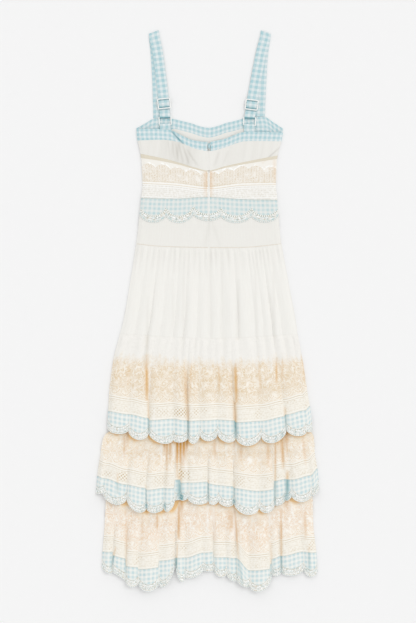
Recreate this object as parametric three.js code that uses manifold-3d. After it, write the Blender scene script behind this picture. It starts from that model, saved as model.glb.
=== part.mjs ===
// A sleeveless midi dress laid flat, face down: a gingham-banded bodice with lace at the midriff, a
// scalloped border over a hip yoke, a gathered skirt and three lace tiers with scalloped borders.
// Millimetres, +Z up. It lies on the XY plane with its straps towards +Y and its back upwards.
// Inside this file a point is given as x (across from the centre back), drop (how far below the top
// of the straps) and z (height above the surface).
import * as THREE from "three";
import Module from "manifold-3d";
import { mergeVertices } from "three/addons/utils/BufferGeometryUtils.js";

const wasm = await Module();
wasm.setup();

// ---- Driving dimensions -------------------------------------------------------------------------
const CLOTH = 1.2; // one layer of cloth with its turnings
const SEAM = 0.3; // what parts two pieces at a seam or where one lies on another
const LAYER = CLOTH + SEAM;
const BODY_PUFF = 3.2; // how far the back of the bodice and hips stands off the front
const STEEPEST = 1.7; // how many times its thickness a steep fold's wall measures upright, at most
const SIDE_ROLL = 9; // how far in from a side seam the back comes up to its own height
const GATHER = 2.6; // height of the small gathers along a gathered seam
const HIDDEN_GATHER = 1.4; // the same where a tier's top lies under the tier above
const INSERTION = 40; // depth of the ivory lace insertion above a border
const HIDDEN = 0.5; // the share of a lower tier's rows that lies under the tier above
const FRONT_SHORTER = 4; // how far a front hem stops short of the back hem that lies over it
const BAND = 23; // depth of the gingham neck band on the front
const BAND_WIDENS = 16; // how much deeper it is below the armholes
const WIDENS_FROM = 82; // how far from the centre it starts to widen
const WIDENS_OVER = 28;
const ZIP_HALF = 2; // half the width of the slit that the zip's chain lies in
const BAND_GAP = 3.4; // half the width of the opening between the neck band's ends
const CENTRE_GAP = 0.6; // half the gap between the halves of the bodice and of the hip yoke
const RUCHING = { eachSide: 12, height: 1.1, fades: 0.4 }; // the bodice's gathers, lower by the tape
const CLIMB = { from: 384, over: 18 }; // where the midriff climbs to the height of the border's top
const SETTLES = 14; // how far past a hem the cloth takes to settle on what lies below
const MIDRIFF = 350; // a drop where the body's sides are nearly upright
const STRAP_WIDTH = 25;
const STRAP_CLOTH = 1.2;
const FOLD_AIR = 0.5; // air between a strap's two layers at the shoulder
const TAB = { over: 3.65, under: 2.1, parts: 238, thinner: 0.1 }; // heights of its layers, where they part
const WIRE = 2.8; // width of the bars of the sliders' and rings' frames
const WIRE_THICK = 2.4;
const SLIDER = { width: 31.6, length: 26, lift: 4.5, bars: 3 };
const RING = { width: 31.6, length: 22, lift: 3, bars: 2 };
const FRAME_CORNER = 3;
const SLOT_CORNER = 1;
const CHAIN_THICK = 1.4;
const ZIP_SLIDER = { width: 6, length: 10, height: 2.2, drop: 275, lug: 1.2, neck: 4.2 };
const PULL = { width: 4, length: 13, thick: 1, eye: 1.5, hole: 0.95, pin: 0.6, eyeWidth: 2, stem: 3.4 };

// ---- Finishes -----------------------------------------------------------------------------------
const finish = (color, roughness) => new THREE.MeshStandardMaterial({ color, roughness, metalness: 0 });
const GINGHAM = finish(0xcbdde0, 0.85);
const VOILE = finish(0xf1f0ec, 0.85);
const LACE = finish(0xeee1cf, 0.9);
const NET = finish(0xf2ece0, 0.9);
const TAPE = finish(0xe2d8c4, 0.85);
const ENAMEL = finish(0xf6f6f4, 0.25);
const AQUA_ENAMEL = finish(0xb9d5da, 0.35);
const ZIP_WHITE = finish(0xf4f3ef, 0.5);

// ---- Tables -------------------------------------------------------------------------------------
// Side edges of the body above the tiers, at each drop.
const BODY_SIDES = [
  { drop: 205, left: -170, right: 172 },
  { drop: 233, left: -174, right: 178 },
  { drop: 262, left: -172, right: 175 },
  { drop: 300, left: -164, right: 165 },
  { drop: 336, left: -161, right: 162 },
  { drop: 372, left: -160, right: 161 },
  { drop: 403, left: -163, right: 164 },
  { drop: 442, left: -167, right: 167 },
  { drop: 480, left: -171, right: 170 },
  { drop: 512, left: -175, right: 174 },
  { drop: 614, left: -191, right: 193 },
  { drop: 694, left: -205, right: 208 },
  { drop: 730, left: -214, right: 213 },
];

// Seams that run across the back of the body: the drop of each at a few places across.
const NECKLINE = [
  { x: -174, drop: 236 },
  { x: -122, drop: 236 },
  { x: -105, drop: 237.3 },
  { x: -91, drop: 239.2 },
  { x: -65, drop: 252 },
  { x: -41, drop: 262.5 },
  { x: 0, drop: 267.5 },
  { x: 22, drop: 263.3 },
  { x: 41, drop: 259 },
  { x: 74, drop: 245.8 },
  { x: 96, drop: 243 },
  { x: 178, drop: 245 },
];
const BAND_SEAM = [
  { x: -172, drop: 264 },
  { x: -110, drop: 262.3 },
  { x: -89, drop: 264.5 },
  { x: -75, drop: 267.5 },
  { x: -62, drop: 272.3 },
  { x: -48, drop: 278 },
  { x: -34, drop: 283.5 },
  { x: 0, drop: 289.5 },
  { x: 31, drop: 283 },
  { x: 62, drop: 272 },
  { x: 84, drop: 266 },
  { x: 175, drop: 266 },
];
const TAPE_TOP = [
  { x: -164, drop: 296 },
  { x: -106, drop: 308 },
  { x: -70, drop: 318 },
  { x: -34, drop: 329 },
  { x: 0, drop: 336 },
  { x: 38, drop: 326 },
  { x: 98, drop: 313 },
  { x: 165, drop: 300 },
];
const TAPE_BOTTOM = [
  { x: -164, drop: 306 },
  { x: -106, drop: 315 },
  { x: -70, drop: 323 },
  { x: -34, drop: 333 },
  { x: 0, drop: 339 },
  { x: 38, drop: 330 },
  { x: 98, drop: 319 },
  { x: 165, drop: 308 },
];
const LACE_SEAM = [
  { x: -160, drop: 368 },
  { x: -82, drop: 372 },
  { x: 0, drop: 381 },
  { x: 74, drop: 373 },
  { x: 161, drop: 371 },
];
const WAIST_SEAM = [
  { x: -163, drop: 402 },
  { x: -82, drop: 404 },
  { x: 0, drop: 400 },
  { x: 74, drop: 405 },
  { x: 164, drop: 407 },
];
const YOKE_SEAM = [
  { x: -175, drop: 512 },
  { x: -118, drop: 518 },
  { x: 0, drop: 521 },
  { x: 98, drop: 520 },
  { x: 174, drop: 512 },
];
const SKIRT_SEAM = [
  { x: -214, drop: 728 },
  { x: -60, drop: 737 },
  { x: 60, drop: 738 },
  { x: 213, drop: 729 },
];
const FRONT_NECKLINE = [
  { x: -174, drop: 234 },
  { x: -154, drop: 223 },
  { x: -134, drop: 212 },
  { x: -89, drop: 211.5 },
  { x: -64, drop: 217 },
  { x: -40, drop: 223.3 },
  { x: -22, drop: 229.5 },
  { x: 0, drop: 233.3 },
  { x: 22, drop: 228.6 },
  { x: 40, drop: 222 },
  { x: 58, drop: 218 },
  { x: 76, drop: 212.8 },
  { x: 92, drop: 209.5 },
  { x: 134, drop: 207 },
  { x: 156, drop: 221 },
  { x: 178, drop: 235 },
];

// One row for each scallop of the border at the waist: where its left end lies, the drop of the notch
// there and the drop of the tip that follows. The last row is the right end.
const WAIST_SCALLOPS = [
  { x: -167, notch: 440, tip: 461 },
  { x: -103, notch: 443, tip: 462 },
  { x: -38, notch: 440, tip: 457 },
  { x: 29, notch: 444, tip: 462 },
  { x: 102, notch: 444, tip: 461 },
  { x: 167, notch: 443, tip: 443 },
];

// One row for each fold of the skirt at its lower seam: where its left valley lies, how high the cloth
// stands there, how high it stands on the crest that follows, and how the crest leans: 1 is even, less
// is a steep left side and more a steep right side.
const SKIRT_FOLDS = [
  { x: -214, dip: 0, crest: 4, lean: 1 },
  { x: -180, dip: 1, crest: 5, lean: 1 },
  { x: -147, dip: 0, crest: 6, lean: 0.7 },
  { x: -118, dip: 2, crest: 5, lean: 1 },
  { x: -86, dip: 1, crest: 5, lean: 1 },
  { x: -61, dip: 1, crest: 7, lean: 0.8 },
  { x: -31, dip: 2, crest: 6, lean: 1 },
  { x: 2, dip: 2, crest: 6, lean: 1 },
  { x: 31, dip: 1, crest: 7, lean: 1.2 },
  { x: 71, dip: 0, crest: 6, lean: 0.7 },
  { x: 112, dip: 1, crest: 4, lean: 1 },
  { x: 132, dip: 2, crest: 5, lean: 1 },
  { x: 154, dip: 0, crest: 6, lean: 0.8 },
  { x: 176, dip: 1, crest: 4, lean: 1 },
  { x: 213, dip: 0, crest: 0, lean: 1 },
];

// The three tiers. hem has one row for each scallop or fold: where its left end lies, the drops of the
// border's seam and of the notch there, the drop of the tip that follows, how high the cloth stands at the
// notch and on the crest that follows, how that crest leans, and how far the seam jumps down where this
// fold laps over the one to its left.
const TIERS = [
  {
    hem: [
      { x: -244, seam: 914, notch: 955, tip: 968, dip: 0, crest: 6, lean: 1, jump: 0 },
      { x: -193, seam: 921, notch: 960, tip: 982, dip: 3, crest: 9, lean: 1, jump: 0 },
      { x: -144, seam: 930, notch: 966, tip: 990, dip: 1, crest: 10, lean: 0.65, jump: 5 },
      { x: -86, seam: 932, notch: 982, tip: 988, dip: 5, crest: 12, lean: 1, jump: 0 },
      { x: -50, seam: 936, notch: 978, tip: 991, dip: 0, crest: 9, lean: 0.65, jump: 1 },
      { x: -22, seam: 936, notch: 970, tip: 985, dip: 4, crest: 10, lean: 1, jump: 0 },
      { x: 20, seam: 934, notch: 968, tip: 988, dip: 4, crest: 9, lean: 1, jump: 0 },
      { x: 64, seam: 936, notch: 977, tip: 996, dip: 0, crest: 12, lean: 0.65, jump: 4 },
      { x: 124, seam: 937, notch: 973, tip: 989, dip: 4, crest: 9, lean: 1, jump: 0 },
      { x: 185, seam: 926, notch: 958, tip: 973, dip: 1, crest: 7, lean: 0.8, jump: -4 },
      { x: 233, seam: 912, notch: 962, tip: 964, dip: 3, crest: 4, lean: 1, jump: 0 },
      { x: 248, seam: 902, notch: 959, tip: 959, dip: 0, crest: 0, lean: 1, jump: 0 },
    ],
    sides: [
      { drop: 728, left: -214, right: 213 },
      { drop: 792, left: -230, right: 225 },
      { drop: 871, left: -240, right: 237 },
      { drop: 912, left: -242, right: 244 },
      { drop: 970, left: -245, right: 250 },
    ],
    top: 0,
    rest: [
      { drop: 728, z: 0 },
      { drop: 880, z: 6 },
      { drop: 1000, z: 6 },
    ],
    swell: [
      { drop: 728, z: 0 },
      { drop: 780, z: 0.15 },
      { drop: 870, z: 1 },
      { drop: 1000, z: 1 },
    ],
    lift: [
      { drop: 890, z: 0 },
      { drop: 950, z: 3.4 },
    ],
  },
  {
    hem: [
      { x: -271, seam: 1070, notch: 1116, tip: 1112, dip: 0, crest: 4, lean: 1, jump: 0 },
      { x: -253, seam: 1075, notch: 1112, tip: 1137, dip: 2, crest: 8, lean: 1, jump: 0 },
      { x: -197, seam: 1090, notch: 1124, tip: 1154, dip: 2, crest: 11, lean: 0.7, jump: 0 },
      { x: -150, seam: 1098, notch: 1146, tip: 1157, dip: 5, crest: 12, lean: 0.6, jump: 4 },
      { x: -108, seam: 1098, notch: 1145, tip: 1152, dip: 5, crest: 13, lean: 1, jump: 0 },
      { x: -82, seam: 1098, notch: 1128, tip: 1127, dip: 10, crest: 5, lean: 1, jump: -20 },
      { x: -68, seam: 1078, notch: 1127, tip: 1128, dip: 0, crest: 3, lean: 1, jump: 8 },
      { x: -51, seam: 1085, notch: 1123, tip: 1137, dip: 4, crest: 10, lean: 0.7, jump: 0 },
      { x: -2, seam: 1083, notch: 1129, tip: 1138, dip: 1, crest: 8, lean: 0.6, jump: 4 },
      { x: 22, seam: 1091, notch: 1129, tip: 1142, dip: 5, crest: 9, lean: 1, jump: 0 },
      { x: 60, seam: 1094, notch: 1135, tip: 1161, dip: 1, crest: 14, lean: 0.7, jump: 4 },
      { x: 120, seam: 1105, notch: 1145, tip: 1157, dip: 5, crest: 11, lean: 1.3, jump: 0 },
      { x: 157, seam: 1101, notch: 1139, tip: 1138, dip: 1, crest: 6, lean: 1, jump: -20 },
      { x: 183, seam: 1077, notch: 1127, tip: 1127, dip: 0, crest: 2, lean: 1, jump: 0 },
      { x: 198, seam: 1078, notch: 1117, tip: 1131, dip: 3, crest: 9, lean: 0.7, jump: 0 },
      { x: 245, seam: 1068, notch: 1116, tip: 1113, dip: 2, crest: 4, lean: 1, jump: 0 },
      { x: 265, seam: 1052, notch: 1100, tip: 1100, dip: 0, crest: 0, lean: 1, jump: 0 },
    ],
    sides: [
      { drop: 890, left: -228, right: 226 },
      { drop: 955, left: -233, right: 238 },
      { drop: 962, left: -237, right: 242 },
      { drop: 971, left: -250, right: 250 },
      { drop: 989, left: -257, right: 253 },
      { drop: 1020, left: -261, right: 255 },
      { drop: 1056, left: -267, right: 261 },
      { drop: 1110, left: -272, right: 266 },
    ],
    top: 890,
    rest: [
      { drop: 890, z: 0 },
      { drop: 998, z: 0 },
      { drop: 1030, z: 6 },
      { drop: 1160, z: 6 },
    ],
    swell: [
      { drop: 890, z: 0 },
      { drop: 997, z: 0.04 },
      { drop: 1050, z: 1 },
      { drop: 1160, z: 1 },
    ],
    lift: [{ drop: 890, z: 0 }],
  },
  {
    hem: [
      { x: -258, seam: 1252, notch: 1290, tip: 1302, dip: 0, crest: 6, lean: 1, jump: 0 },
      { x: -232, seam: 1252, notch: 1302, tip: 1310, dip: 0, crest: 7, lean: 0.7, jump: 9 },
      { x: -200, seam: 1268, notch: 1324, tip: 1336, dip: 3, crest: 12, lean: 0.8, jump: 18 },
      { x: -170, seam: 1288, notch: 1327, tip: 1346, dip: 6, crest: 14, lean: 1, jump: 5 },
      { x: -120, seam: 1289, notch: 1326, tip: 1329, dip: 6, crest: 11, lean: 1.2, jump: -16 },
      { x: -81, seam: 1269, notch: 1280, tip: 1321, dip: 0, crest: 7, lean: 0.7, jump: -3 },
      { x: -58, seam: 1266, notch: 1312, tip: 1313, dip: 3, crest: 9, lean: 1, jump: 0 },
      { x: -14, seam: 1254, notch: 1297, tip: 1299, dip: 5, crest: 8, lean: 1, jump: 0 },
      { x: 12, seam: 1252, notch: 1298, tip: 1312, dip: 0, crest: 8, lean: 0.8, jump: 13 },
      { x: 42, seam: 1265, notch: 1306, tip: 1320, dip: 4, crest: 9, lean: 1, jump: 0 },
      { x: 66, seam: 1267, notch: 1320, tip: 1334, dip: 3, crest: 12, lean: 0.8, jump: 0 },
      { x: 98, seam: 1296, notch: 1334, tip: 1346, dip: 7, crest: 14, lean: 1, jump: 0 },
      { x: 148, seam: 1293, notch: 1320, tip: 1315, dip: 4, crest: 4, lean: 1, jump: -12 },
      { x: 152, seam: 1281, notch: 1306, tip: 1310, dip: 3, crest: 6, lean: 1, jump: -12 },
      { x: 174, seam: 1262, notch: 1301, tip: 1309, dip: 0, crest: 8, lean: 0.65, jump: 0 },
      { x: 228, seam: 1252, notch: 1296, tip: 1312, dip: 1, crest: 6, lean: 1, jump: 0 },
      { x: 261, seam: 1254, notch: 1300, tip: 1300, dip: 0, crest: 0, lean: 1, jump: 0 },
    ],
    sides: [
      { drop: 1034, left: -246, right: 240 },
      { drop: 1121, left: -248, right: 249 },
      { drop: 1190, left: -251, right: 251 },
      { drop: 1253, left: -256, right: 258 },
      { drop: 1300, left: -258, right: 261 },
    ],
    top: 1034,
    rest: [
      { drop: 1034, z: 0 },
      { drop: 1350, z: 0 },
    ],
    swell: [
      { drop: 1034, z: 0 },
      { drop: 1162, z: 0.04 },
      { drop: 1215, z: 1 },
      { drop: 1350, z: 1 },
    ],
    lift: [{ drop: 1034, z: 0 }],
  },
];

// The straps' middle lines from the front's neckline up to the fold at the shoulder and down again to
// the slider; turn is the slant of the strap's width, in degrees. The slider, the ring and the tab's
// sewn end follow.
const STRAPS = {
  left: {
    under: [
      { x: -121, drop: 209.7, turn: 1 },
      { x: -124, drop: 105, turn: 2 },
      { x: -128, drop: 50, turn: 5 },
      { x: -132, drop: 14, turn: 15 },
    ],
    fold: { x: -132.5, drop: 3.6, turn: 20 },
    over: [
      { x: -132, drop: 14, turn: 15 },
      { x: -124, drop: 45, turn: 8 },
      { x: -118, drop: 90, turn: 7 },
      { x: -110.5, drop: 150, turn: 6 },
    ],
    slider: { x: -108, drop: 175, turn: 6 },
    ring: { x: -105.5, drop: 217, turn: 2 },
    tabEnd: { x: -105, drop: 261, turn: 0 },
  },
  right: {
    under: [
      { x: 122, drop: 205.5, turn: -1 },
      { x: 126, drop: 105, turn: -2 },
      { x: 130, drop: 50, turn: -5 },
      { x: 136, drop: 14, turn: -15 },
    ],
    fold: { x: 137, drop: 3.6, turn: -20 },
    over: [
      { x: 136, drop: 14, turn: -15 },
      { x: 127, drop: 45, turn: -8 },
      { x: 118, drop: 90, turn: -8 },
      { x: 106.5, drop: 152, turn: -8 },
    ],
    slider: { x: 102.5, drop: 178, turn: -7 },
    ring: { x: 97.5, drop: 218, turn: -3 },
    tabEnd: { x: 96.5, drop: 261, turn: 0 },
  },
};

// How a strap runs round the bars of its slider and ring, and a tab round the ring's lower bar: along is
// how far below the slider's or ring's middle, z the height of the cloth's middle.
const ROUND_SLIDER = [
  { along: -11, z: 3.2 },
  { along: -9.6, z: 3.5 },
  { along: -2.4, z: 7.4 },
  { along: -1.2, z: 7.95 },
  { along: 1.2, z: 7.95 },
  { along: 2.4, z: 7.4 },
  { along: 9.2, z: 3.6 },
  { along: 14, z: 3.6 },
];
const ROUND_RING = [
  { along: -12.2, z: 5.8 },
  { along: -11, z: 6.4 },
  { along: -8.4, z: 6.4 },
  { along: -6.9, z: 5.6 },
  { along: -6.9, z: 2.9 },
  { along: -8.4, z: 2.1 },
];
const TAB_ROUND_RING = [
  { along: 13.2, z: 5.8 },
  { along: 12, z: 6.4 },
  { along: 8.4, z: 6.4 },
  { along: 6.9, z: 5.6 },
  { along: 6.9, z: 2.9 },
  { along: 8.4, z: 2.1 },
];

// The height of the underside of the zip's chain down its length: under the bodice, then in the slit
// of the midriff, then on the yoke.
const CHAIN = [
  { drop: 294, z: 3 },
  { drop: 335, z: 3 },
  { drop: 345, z: 4.7 },
  { drop: 386, z: 4.7 },
  { drop: 399, z: 7.7 },
  { drop: 446, z: 7.7 },
];

// ---- Small sums ---------------------------------------------------------------------------------
const lerp = (a, b, t) => a + (b - a) * t;
const ease = (t) => {
  const c = Math.min(1, Math.max(0, t));
  return c * c * (3 - 2 * c);
};

// A smooth curve through a table's rows: value `key` at each place `at`, held level past the ends.
function through(rows, at, key) {
  const slope = rows.map((row, i) => {
    const before = rows[Math.max(0, i - 1)];
    const after = rows[Math.min(rows.length - 1, i + 1)];
    return (after[key] - before[key]) / (after[at] - before[at]);
  });
  return (place) => {
    if (place <= rows[0][at]) return rows[0][key];
    if (place >= rows.at(-1)[at]) return rows.at(-1)[key];
    const i = rows.findIndex((row, k) => place < rows[k + 1][at]);
    const span = rows[i + 1][at] - rows[i][at];
    const t = (place - rows[i][at]) / span;
    const steady = rows[i][key] * (1 + 2 * t) * (1 - t) ** 2 + rows[i + 1][key] * t * t * (3 - 2 * t);
    return steady + span * t * (1 - t) * (slope[i] * (1 - t) - slope[i + 1] * t);
  };
}

// A height down the cloth that eases from each row's to the next one's.
function eased(rows) {
  return (drop) => {
    const i = rows.findLastIndex((row) => drop >= row.drop);
    if (i < 0) return rows[0].z;
    if (i === rows.length - 1) return rows[i].z;
    return lerp(rows[i].z, rows[i + 1].z, ease((drop - rows[i].drop) / (rows[i + 1].drop - rows[i].drop)));
  };
}

// Which row of a hem or fold table a place across lies in, and how far through it.
function rowAt(rows, x) {
  const i = Math.max(0, rows.findLastIndex((row, k) => k < rows.length - 1 && x >= row.x));
  const t = (x - rows[i].x) / (rows[i + 1].x - rows[i].x);
  return { row: rows[i], next: rows[i + 1], t: Math.min(1, Math.max(0, t)) };
}

// The drop of a scalloped edge: round tips between pointed notches.
function scalloped(rows, x) {
  const { row, next, t } = rowAt(rows, x);
  const middle = (row.notch + next.notch) / 2;
  return lerp(row.notch, next.notch, t) + (row.tip - middle) * (1 - (2 * t - 1) ** 2) ** 0.6;
}

// The height of a run of folds: from one valley over a crest to the next.
function foldHeight(rows, x) {
  const { row, next, t } = rowAt(rows, x);
  return lerp(lerp(row.dip, next.dip, t), row.crest, Math.sin(Math.PI * t ** row.lean));
}

// Two small gathers to each fold.
const gatherHeight = (rows, x) => Math.sin(2 * Math.PI * rowAt(rows, x).t) ** 2;

// ---- Solids -------------------------------------------------------------------------------------
const dress = new THREE.Group();

function add(name, geometry, material) {
  const mesh = new THREE.Mesh(geometry, material);
  mesh.name = name;
  dress.add(mesh);
}

// A closed body from a grid of outer points and the inner points under them.
function shell(rows, inner) {
  const down = rows.length;
  const across = rows[0].length;
  const points = [...rows.flat(), ...inner.flat()].flat();
  const faces = [];
  const quad = (a, b, c, d) => faces.push(a, b, c, a, c, d);
  const o = (j, i) => j * across + i;
  const n = (j, i) => down * across + j * across + i;
  for (let j = 0; j < down - 1; j += 1) {
    for (let i = 0; i < across - 1; i += 1) {
      quad(o(j, i), o(j + 1, i), o(j + 1, i + 1), o(j, i + 1));
      quad(n(j, i), n(j, i + 1), n(j + 1, i + 1), n(j + 1, i));
    }
    quad(o(j, 0), n(j, 0), n(j + 1, 0), o(j + 1, 0));
    quad(o(j, across - 1), o(j + 1, across - 1), n(j + 1, across - 1), n(j, across - 1));
  }
  for (let i = 0; i < across - 1; i += 1) {
    quad(o(0, i), o(0, i + 1), n(0, i + 1), n(0, i));
    quad(o(down - 1, i), n(down - 1, i), n(down - 1, i + 1), o(down - 1, i + 1));
  }
  const geometry = new THREE.BufferGeometry();
  geometry.setAttribute("position", new THREE.Float32BufferAttribute(points, 3));
  geometry.setIndex(faces);
  return geometry;
}

// A wall of cloth. place(column, v) gives x, drop and the height of the underside; columns run from 0 at
// the left edge to 1 at the right one, and v from 0 at the top edge to 1 at the lower one. The wall is as
// thick along a slope as on the flat.
function wall(name, material, columns, rows, place) {
  const outer = [];
  const inner = [];
  for (const v of rows) {
    const row = columns.map((column) => place(column, v));
    inner.push(row.map((p) => [p.x, -p.drop, p.z]));
    outer.push(
      row.map((p, i) => {
        const before = row[Math.max(0, i - 1)];
        const after = row[Math.min(row.length - 1, i + 1)];
        const slope = (after.z - before.z) / (after.x - before.x);
        return [p.x, -p.drop, p.z + CLOTH * Math.min(STEEPEST, Math.hypot(1, slope))];
      }),
    );
  }
  add(name, shell(outer, inner), material);
}

const evenly = (count) => Array.from({ length: count + 1 }, (_, i) => i / count);

// Places across a table's rows, as shares of the whole width, with the given stops in each row.
function stopsIn(rows, stops, narrow = stops) {
  const left = rows[0].x;
  const width = rows.at(-1).x - left;
  const places = rows.slice(0, -1).flatMap((row, i) => {
    const span = rows[i + 1].x - row.x;
    return (span > 30 ? stops : narrow).map((t) => (row.x + span * t - left) / width);
  });
  return [...places, 1];
}

// ---- The body: bodice, midriff, waist border and yoke --------------------------------------------
const bodyLeft = through(BODY_SIDES, "drop", "left");
const bodyRight = through(BODY_SIDES, "drop", "right");
const line = (rows) => through(rows, "x", "drop");
const seams = {
  neckline: line(NECKLINE),
  band: line(BAND_SEAM),
  tapeTop: line(TAPE_TOP),
  tapeBottom: line(TAPE_BOTTOM),
  lace: line(LACE_SEAM),
  waist: line(WAIST_SEAM),
  border: (x) => scalloped(WAIST_SCALLOPS, x),
  yoke: line(YOKE_SEAM),
  skirt: line(SKIRT_SEAM),
  frontNeckline: line(FRONT_NECKLINE),
};
seams.frontBand = (x) => seams.frontNeckline(x) + BAND + BAND_WIDENS * ease((Math.abs(x) - WIDENS_FROM) / WIDENS_OVER);
const yokeTopUnderBorder = Math.max(...WAIST_SCALLOPS.map((row) => row.tip)) + 3;

// How far the back has come up from the side seams, from 0 at a seam to 1.
const fromSides = (x, left, right) => ease(Math.min(x - left, right - x) / SIDE_ROLL);

// A piece of the body between two seams. from and to are "left", "right" or a distance from the centre.
function bodyPiece(name, material, top, bottom, from, to, columns, steps, height) {
  const edge = (end, drop) => (end === "left" ? bodyLeft(drop) : end === "right" ? bodyRight(drop) : end);
  const at = (share, v) => {
    let x = lerp(edge(from, MIDRIFF), edge(to, MIDRIFF), share);
    let drop = 0;
    for (let pass = 0; pass < 3; pass += 1) {
      drop = lerp(top(x) + SEAM / 2, bottom(x) - SEAM / 2, v);
      x = lerp(edge(from, drop), edge(to, drop), share);
    }
    return { x, drop };
  };
  wall(name, material, columns, evenly(steps), (share, v) => {
    const { x, drop } = at(share, v);
    return { x, drop, z: height(x, drop, v) };
  });
}

const onFront = (x, drop) => LAYER + BODY_PUFF * fromSides(x, bodyLeft(drop), bodyRight(drop));
// The front yoke lies on the front's own border down to its tips, and the back yoke on both.
const frontYoke = (drop) => LAYER * (1 - ease((drop - yokeTopUnderBorder) / SETTLES));
const onYoke = (x, drop) => onFront(x, drop) + frontYoke(drop);
const onBorder = (x, drop) => onYoke(x, drop) + LAYER;
const risingToYoke = (x, drop) => onFront(x, drop) + LAYER * ease((drop - CLIMB.from) / CLIMB.over);
const flat = () => 0;

const ARC_STOPS = [0, 0.07, 0.2, 0.35, 0.5, 0.65, 0.8, 0.93];
const ruched = (x, drop, v) => {
  const gather = Math.sin((Math.PI * RUCHING.eachSide * x) / BODY_SIDES[0].right) ** 2;
  return onFront(x, drop) + RUCHING.height * gather * (1 - RUCHING.fades * v);
};

function backOfBody() {
  for (const side of ["left", "right"]) {
    const piece = (part, material, top, bottom, gap, columns, steps, height) => {
      const [from, to] = side === "left" ? ["left", -gap] : [gap, "right"];
      bodyPiece(`back_${part}_${side}`, material, top, bottom, from, to, columns, steps, height);
    };
    const gathers = evenly(2 * RUCHING.eachSide);
    piece("neck_band", GINGHAM, seams.neckline, seams.band, BAND_GAP, gathers, 1, onFront);
    piece("bodice", VOILE, seams.band, seams.tapeTop, CENTRE_GAP, gathers, 3, ruched);
    piece("midriff_tape", TAPE, seams.tapeTop, seams.tapeBottom, ZIP_HALF, gathers, 1, onFront);
    piece("midriff_lace", LACE, seams.tapeBottom, seams.lace, ZIP_HALF, gathers, 1, onFront);
    piece("midriff_insertion", NET, seams.lace, seams.waist, ZIP_HALF, evenly(12), 2, risingToYoke);
    piece("hip_yoke", VOILE, seams.waist, seams.yoke, CENTRE_GAP, evenly(8), 5, onYoke);
    const [first, last] = [WAIST_SCALLOPS[0].x, WAIST_SCALLOPS.at(-1).x];
    const arcs = stopsIn(WAIST_SCALLOPS, ARC_STOPS).map((share) => lerp(first, last, share));
    const [near, far] = side === "left" ? [first, -ZIP_HALF] : [ZIP_HALF, last];
    const inside = arcs.filter((x) => x > near + 2 && x < far - 2).map((x) => (x - near) / (far - near));
    const columns = [0, ...inside, 1];
    piece("waist_border", GINGHAM, seams.waist, seams.border, ZIP_HALF, columns, 1, onBorder);
  }
}

function frontOfBody() {
  const whole = (part, material, top, bottom, columns, steps, height) =>
    bodyPiece(`front_${part}`, material, top, bottom, "left", "right", columns, steps, height);
  whole("neck_band", GINGHAM, seams.frontNeckline, seams.frontBand, evenly(20), 1, flat);
  whole("bodice", VOILE, seams.frontBand, seams.tapeTop, evenly(20), 2, flat);
  whole("midriff_tape", TAPE, seams.tapeTop, seams.tapeBottom, evenly(20), 1, flat);
  whole("midriff_lace", LACE, seams.tapeBottom, seams.lace, evenly(20), 1, flat);
  whole("midriff_insertion", NET, seams.lace, seams.waist, evenly(20), 1, flat);
  whole("hip_yoke", VOILE, seams.waist, seams.yoke, evenly(8), 6, (x, drop) => frontYoke(drop));
  const arcs = stopsIn(WAIST_SCALLOPS, ARC_STOPS);
  const shorter = (x) => seams.border(x) - FRONT_SHORTER;
  whole("waist_border", GINGHAM, seams.waist, shorter, arcs, 1, flat);
}

// ---- The skirt ----------------------------------------------------------------------------------
// Shares of the skirt's length: its gathers start at the yoke and are gone at gathersEnd, the folds of its
// hem are full from foldsFull on, and the body's puff is gone at puffEnds.
const SKIRT = { gathersStart: 0.06, gathersEnd: 0.45, foldsFull: 0.8, puffEnds: 0.5 };

function skirtDrop(share, v) {
  const top = seams.yoke(lerp(YOKE_SEAM[0].x, YOKE_SEAM.at(-1).x, share));
  const bottom = seams.skirt(lerp(SKIRT_SEAM[0].x, SKIRT_SEAM.at(-1).x, share));
  return lerp(top + SEAM / 2, bottom - SEAM / 2, v);
}

function skirt() {
  const left = SKIRT_FOLDS[0].x;
  const width = SKIRT_FOLDS.at(-1).x - left;
  const height = (share) => (x, drop, v) => {
    const place = left + width * share;
    const gathers = ease(v / SKIRT.gathersStart) * (1 - ease(v / SKIRT.gathersEnd));
    const gathered = GATHER * gatherHeight(SKIRT_FOLDS, place) * gathers;
    const folded = foldHeight(SKIRT_FOLDS, place) * ease(v / SKIRT.foldsFull);
    const lift = BODY_PUFF * (1 - ease(v / SKIRT.puffEnds)) + gathered + folded;
    return LAYER + lift * fromSides(x, bodyLeft(drop), bodyRight(drop));
  };
  const columns = stopsIn(SKIRT_FOLDS, [0, 0.25, 0.5, 0.75]);
  wall("back_skirt", VOILE, columns, [0, 0.12, 0.3, 0.5, 0.75, 1], (share, v) => {
    const drop = skirtDrop(share, v);
    const x = lerp(bodyLeft(drop), bodyRight(drop), share);
    return { x, drop, z: height(share)(x, drop, v) };
  });
  wall("front_skirt", VOILE, evenly(10), evenly(4), (share, v) => {
    const drop = skirtDrop(share, v);
    return { x: lerp(bodyLeft(drop), bodyRight(drop), share), drop, z: 0 };
  });
}

// ---- The tiers ----------------------------------------------------------------------------------
// Distances below a tier's top: its gathers rise over the first and are gone after the second. The first
// tier carries the skirt's folds on for the third.
const TIER_TOP = { gathersStart: 8, gathersEnd: 110, skirtFoldsEnd: 110 };

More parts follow.
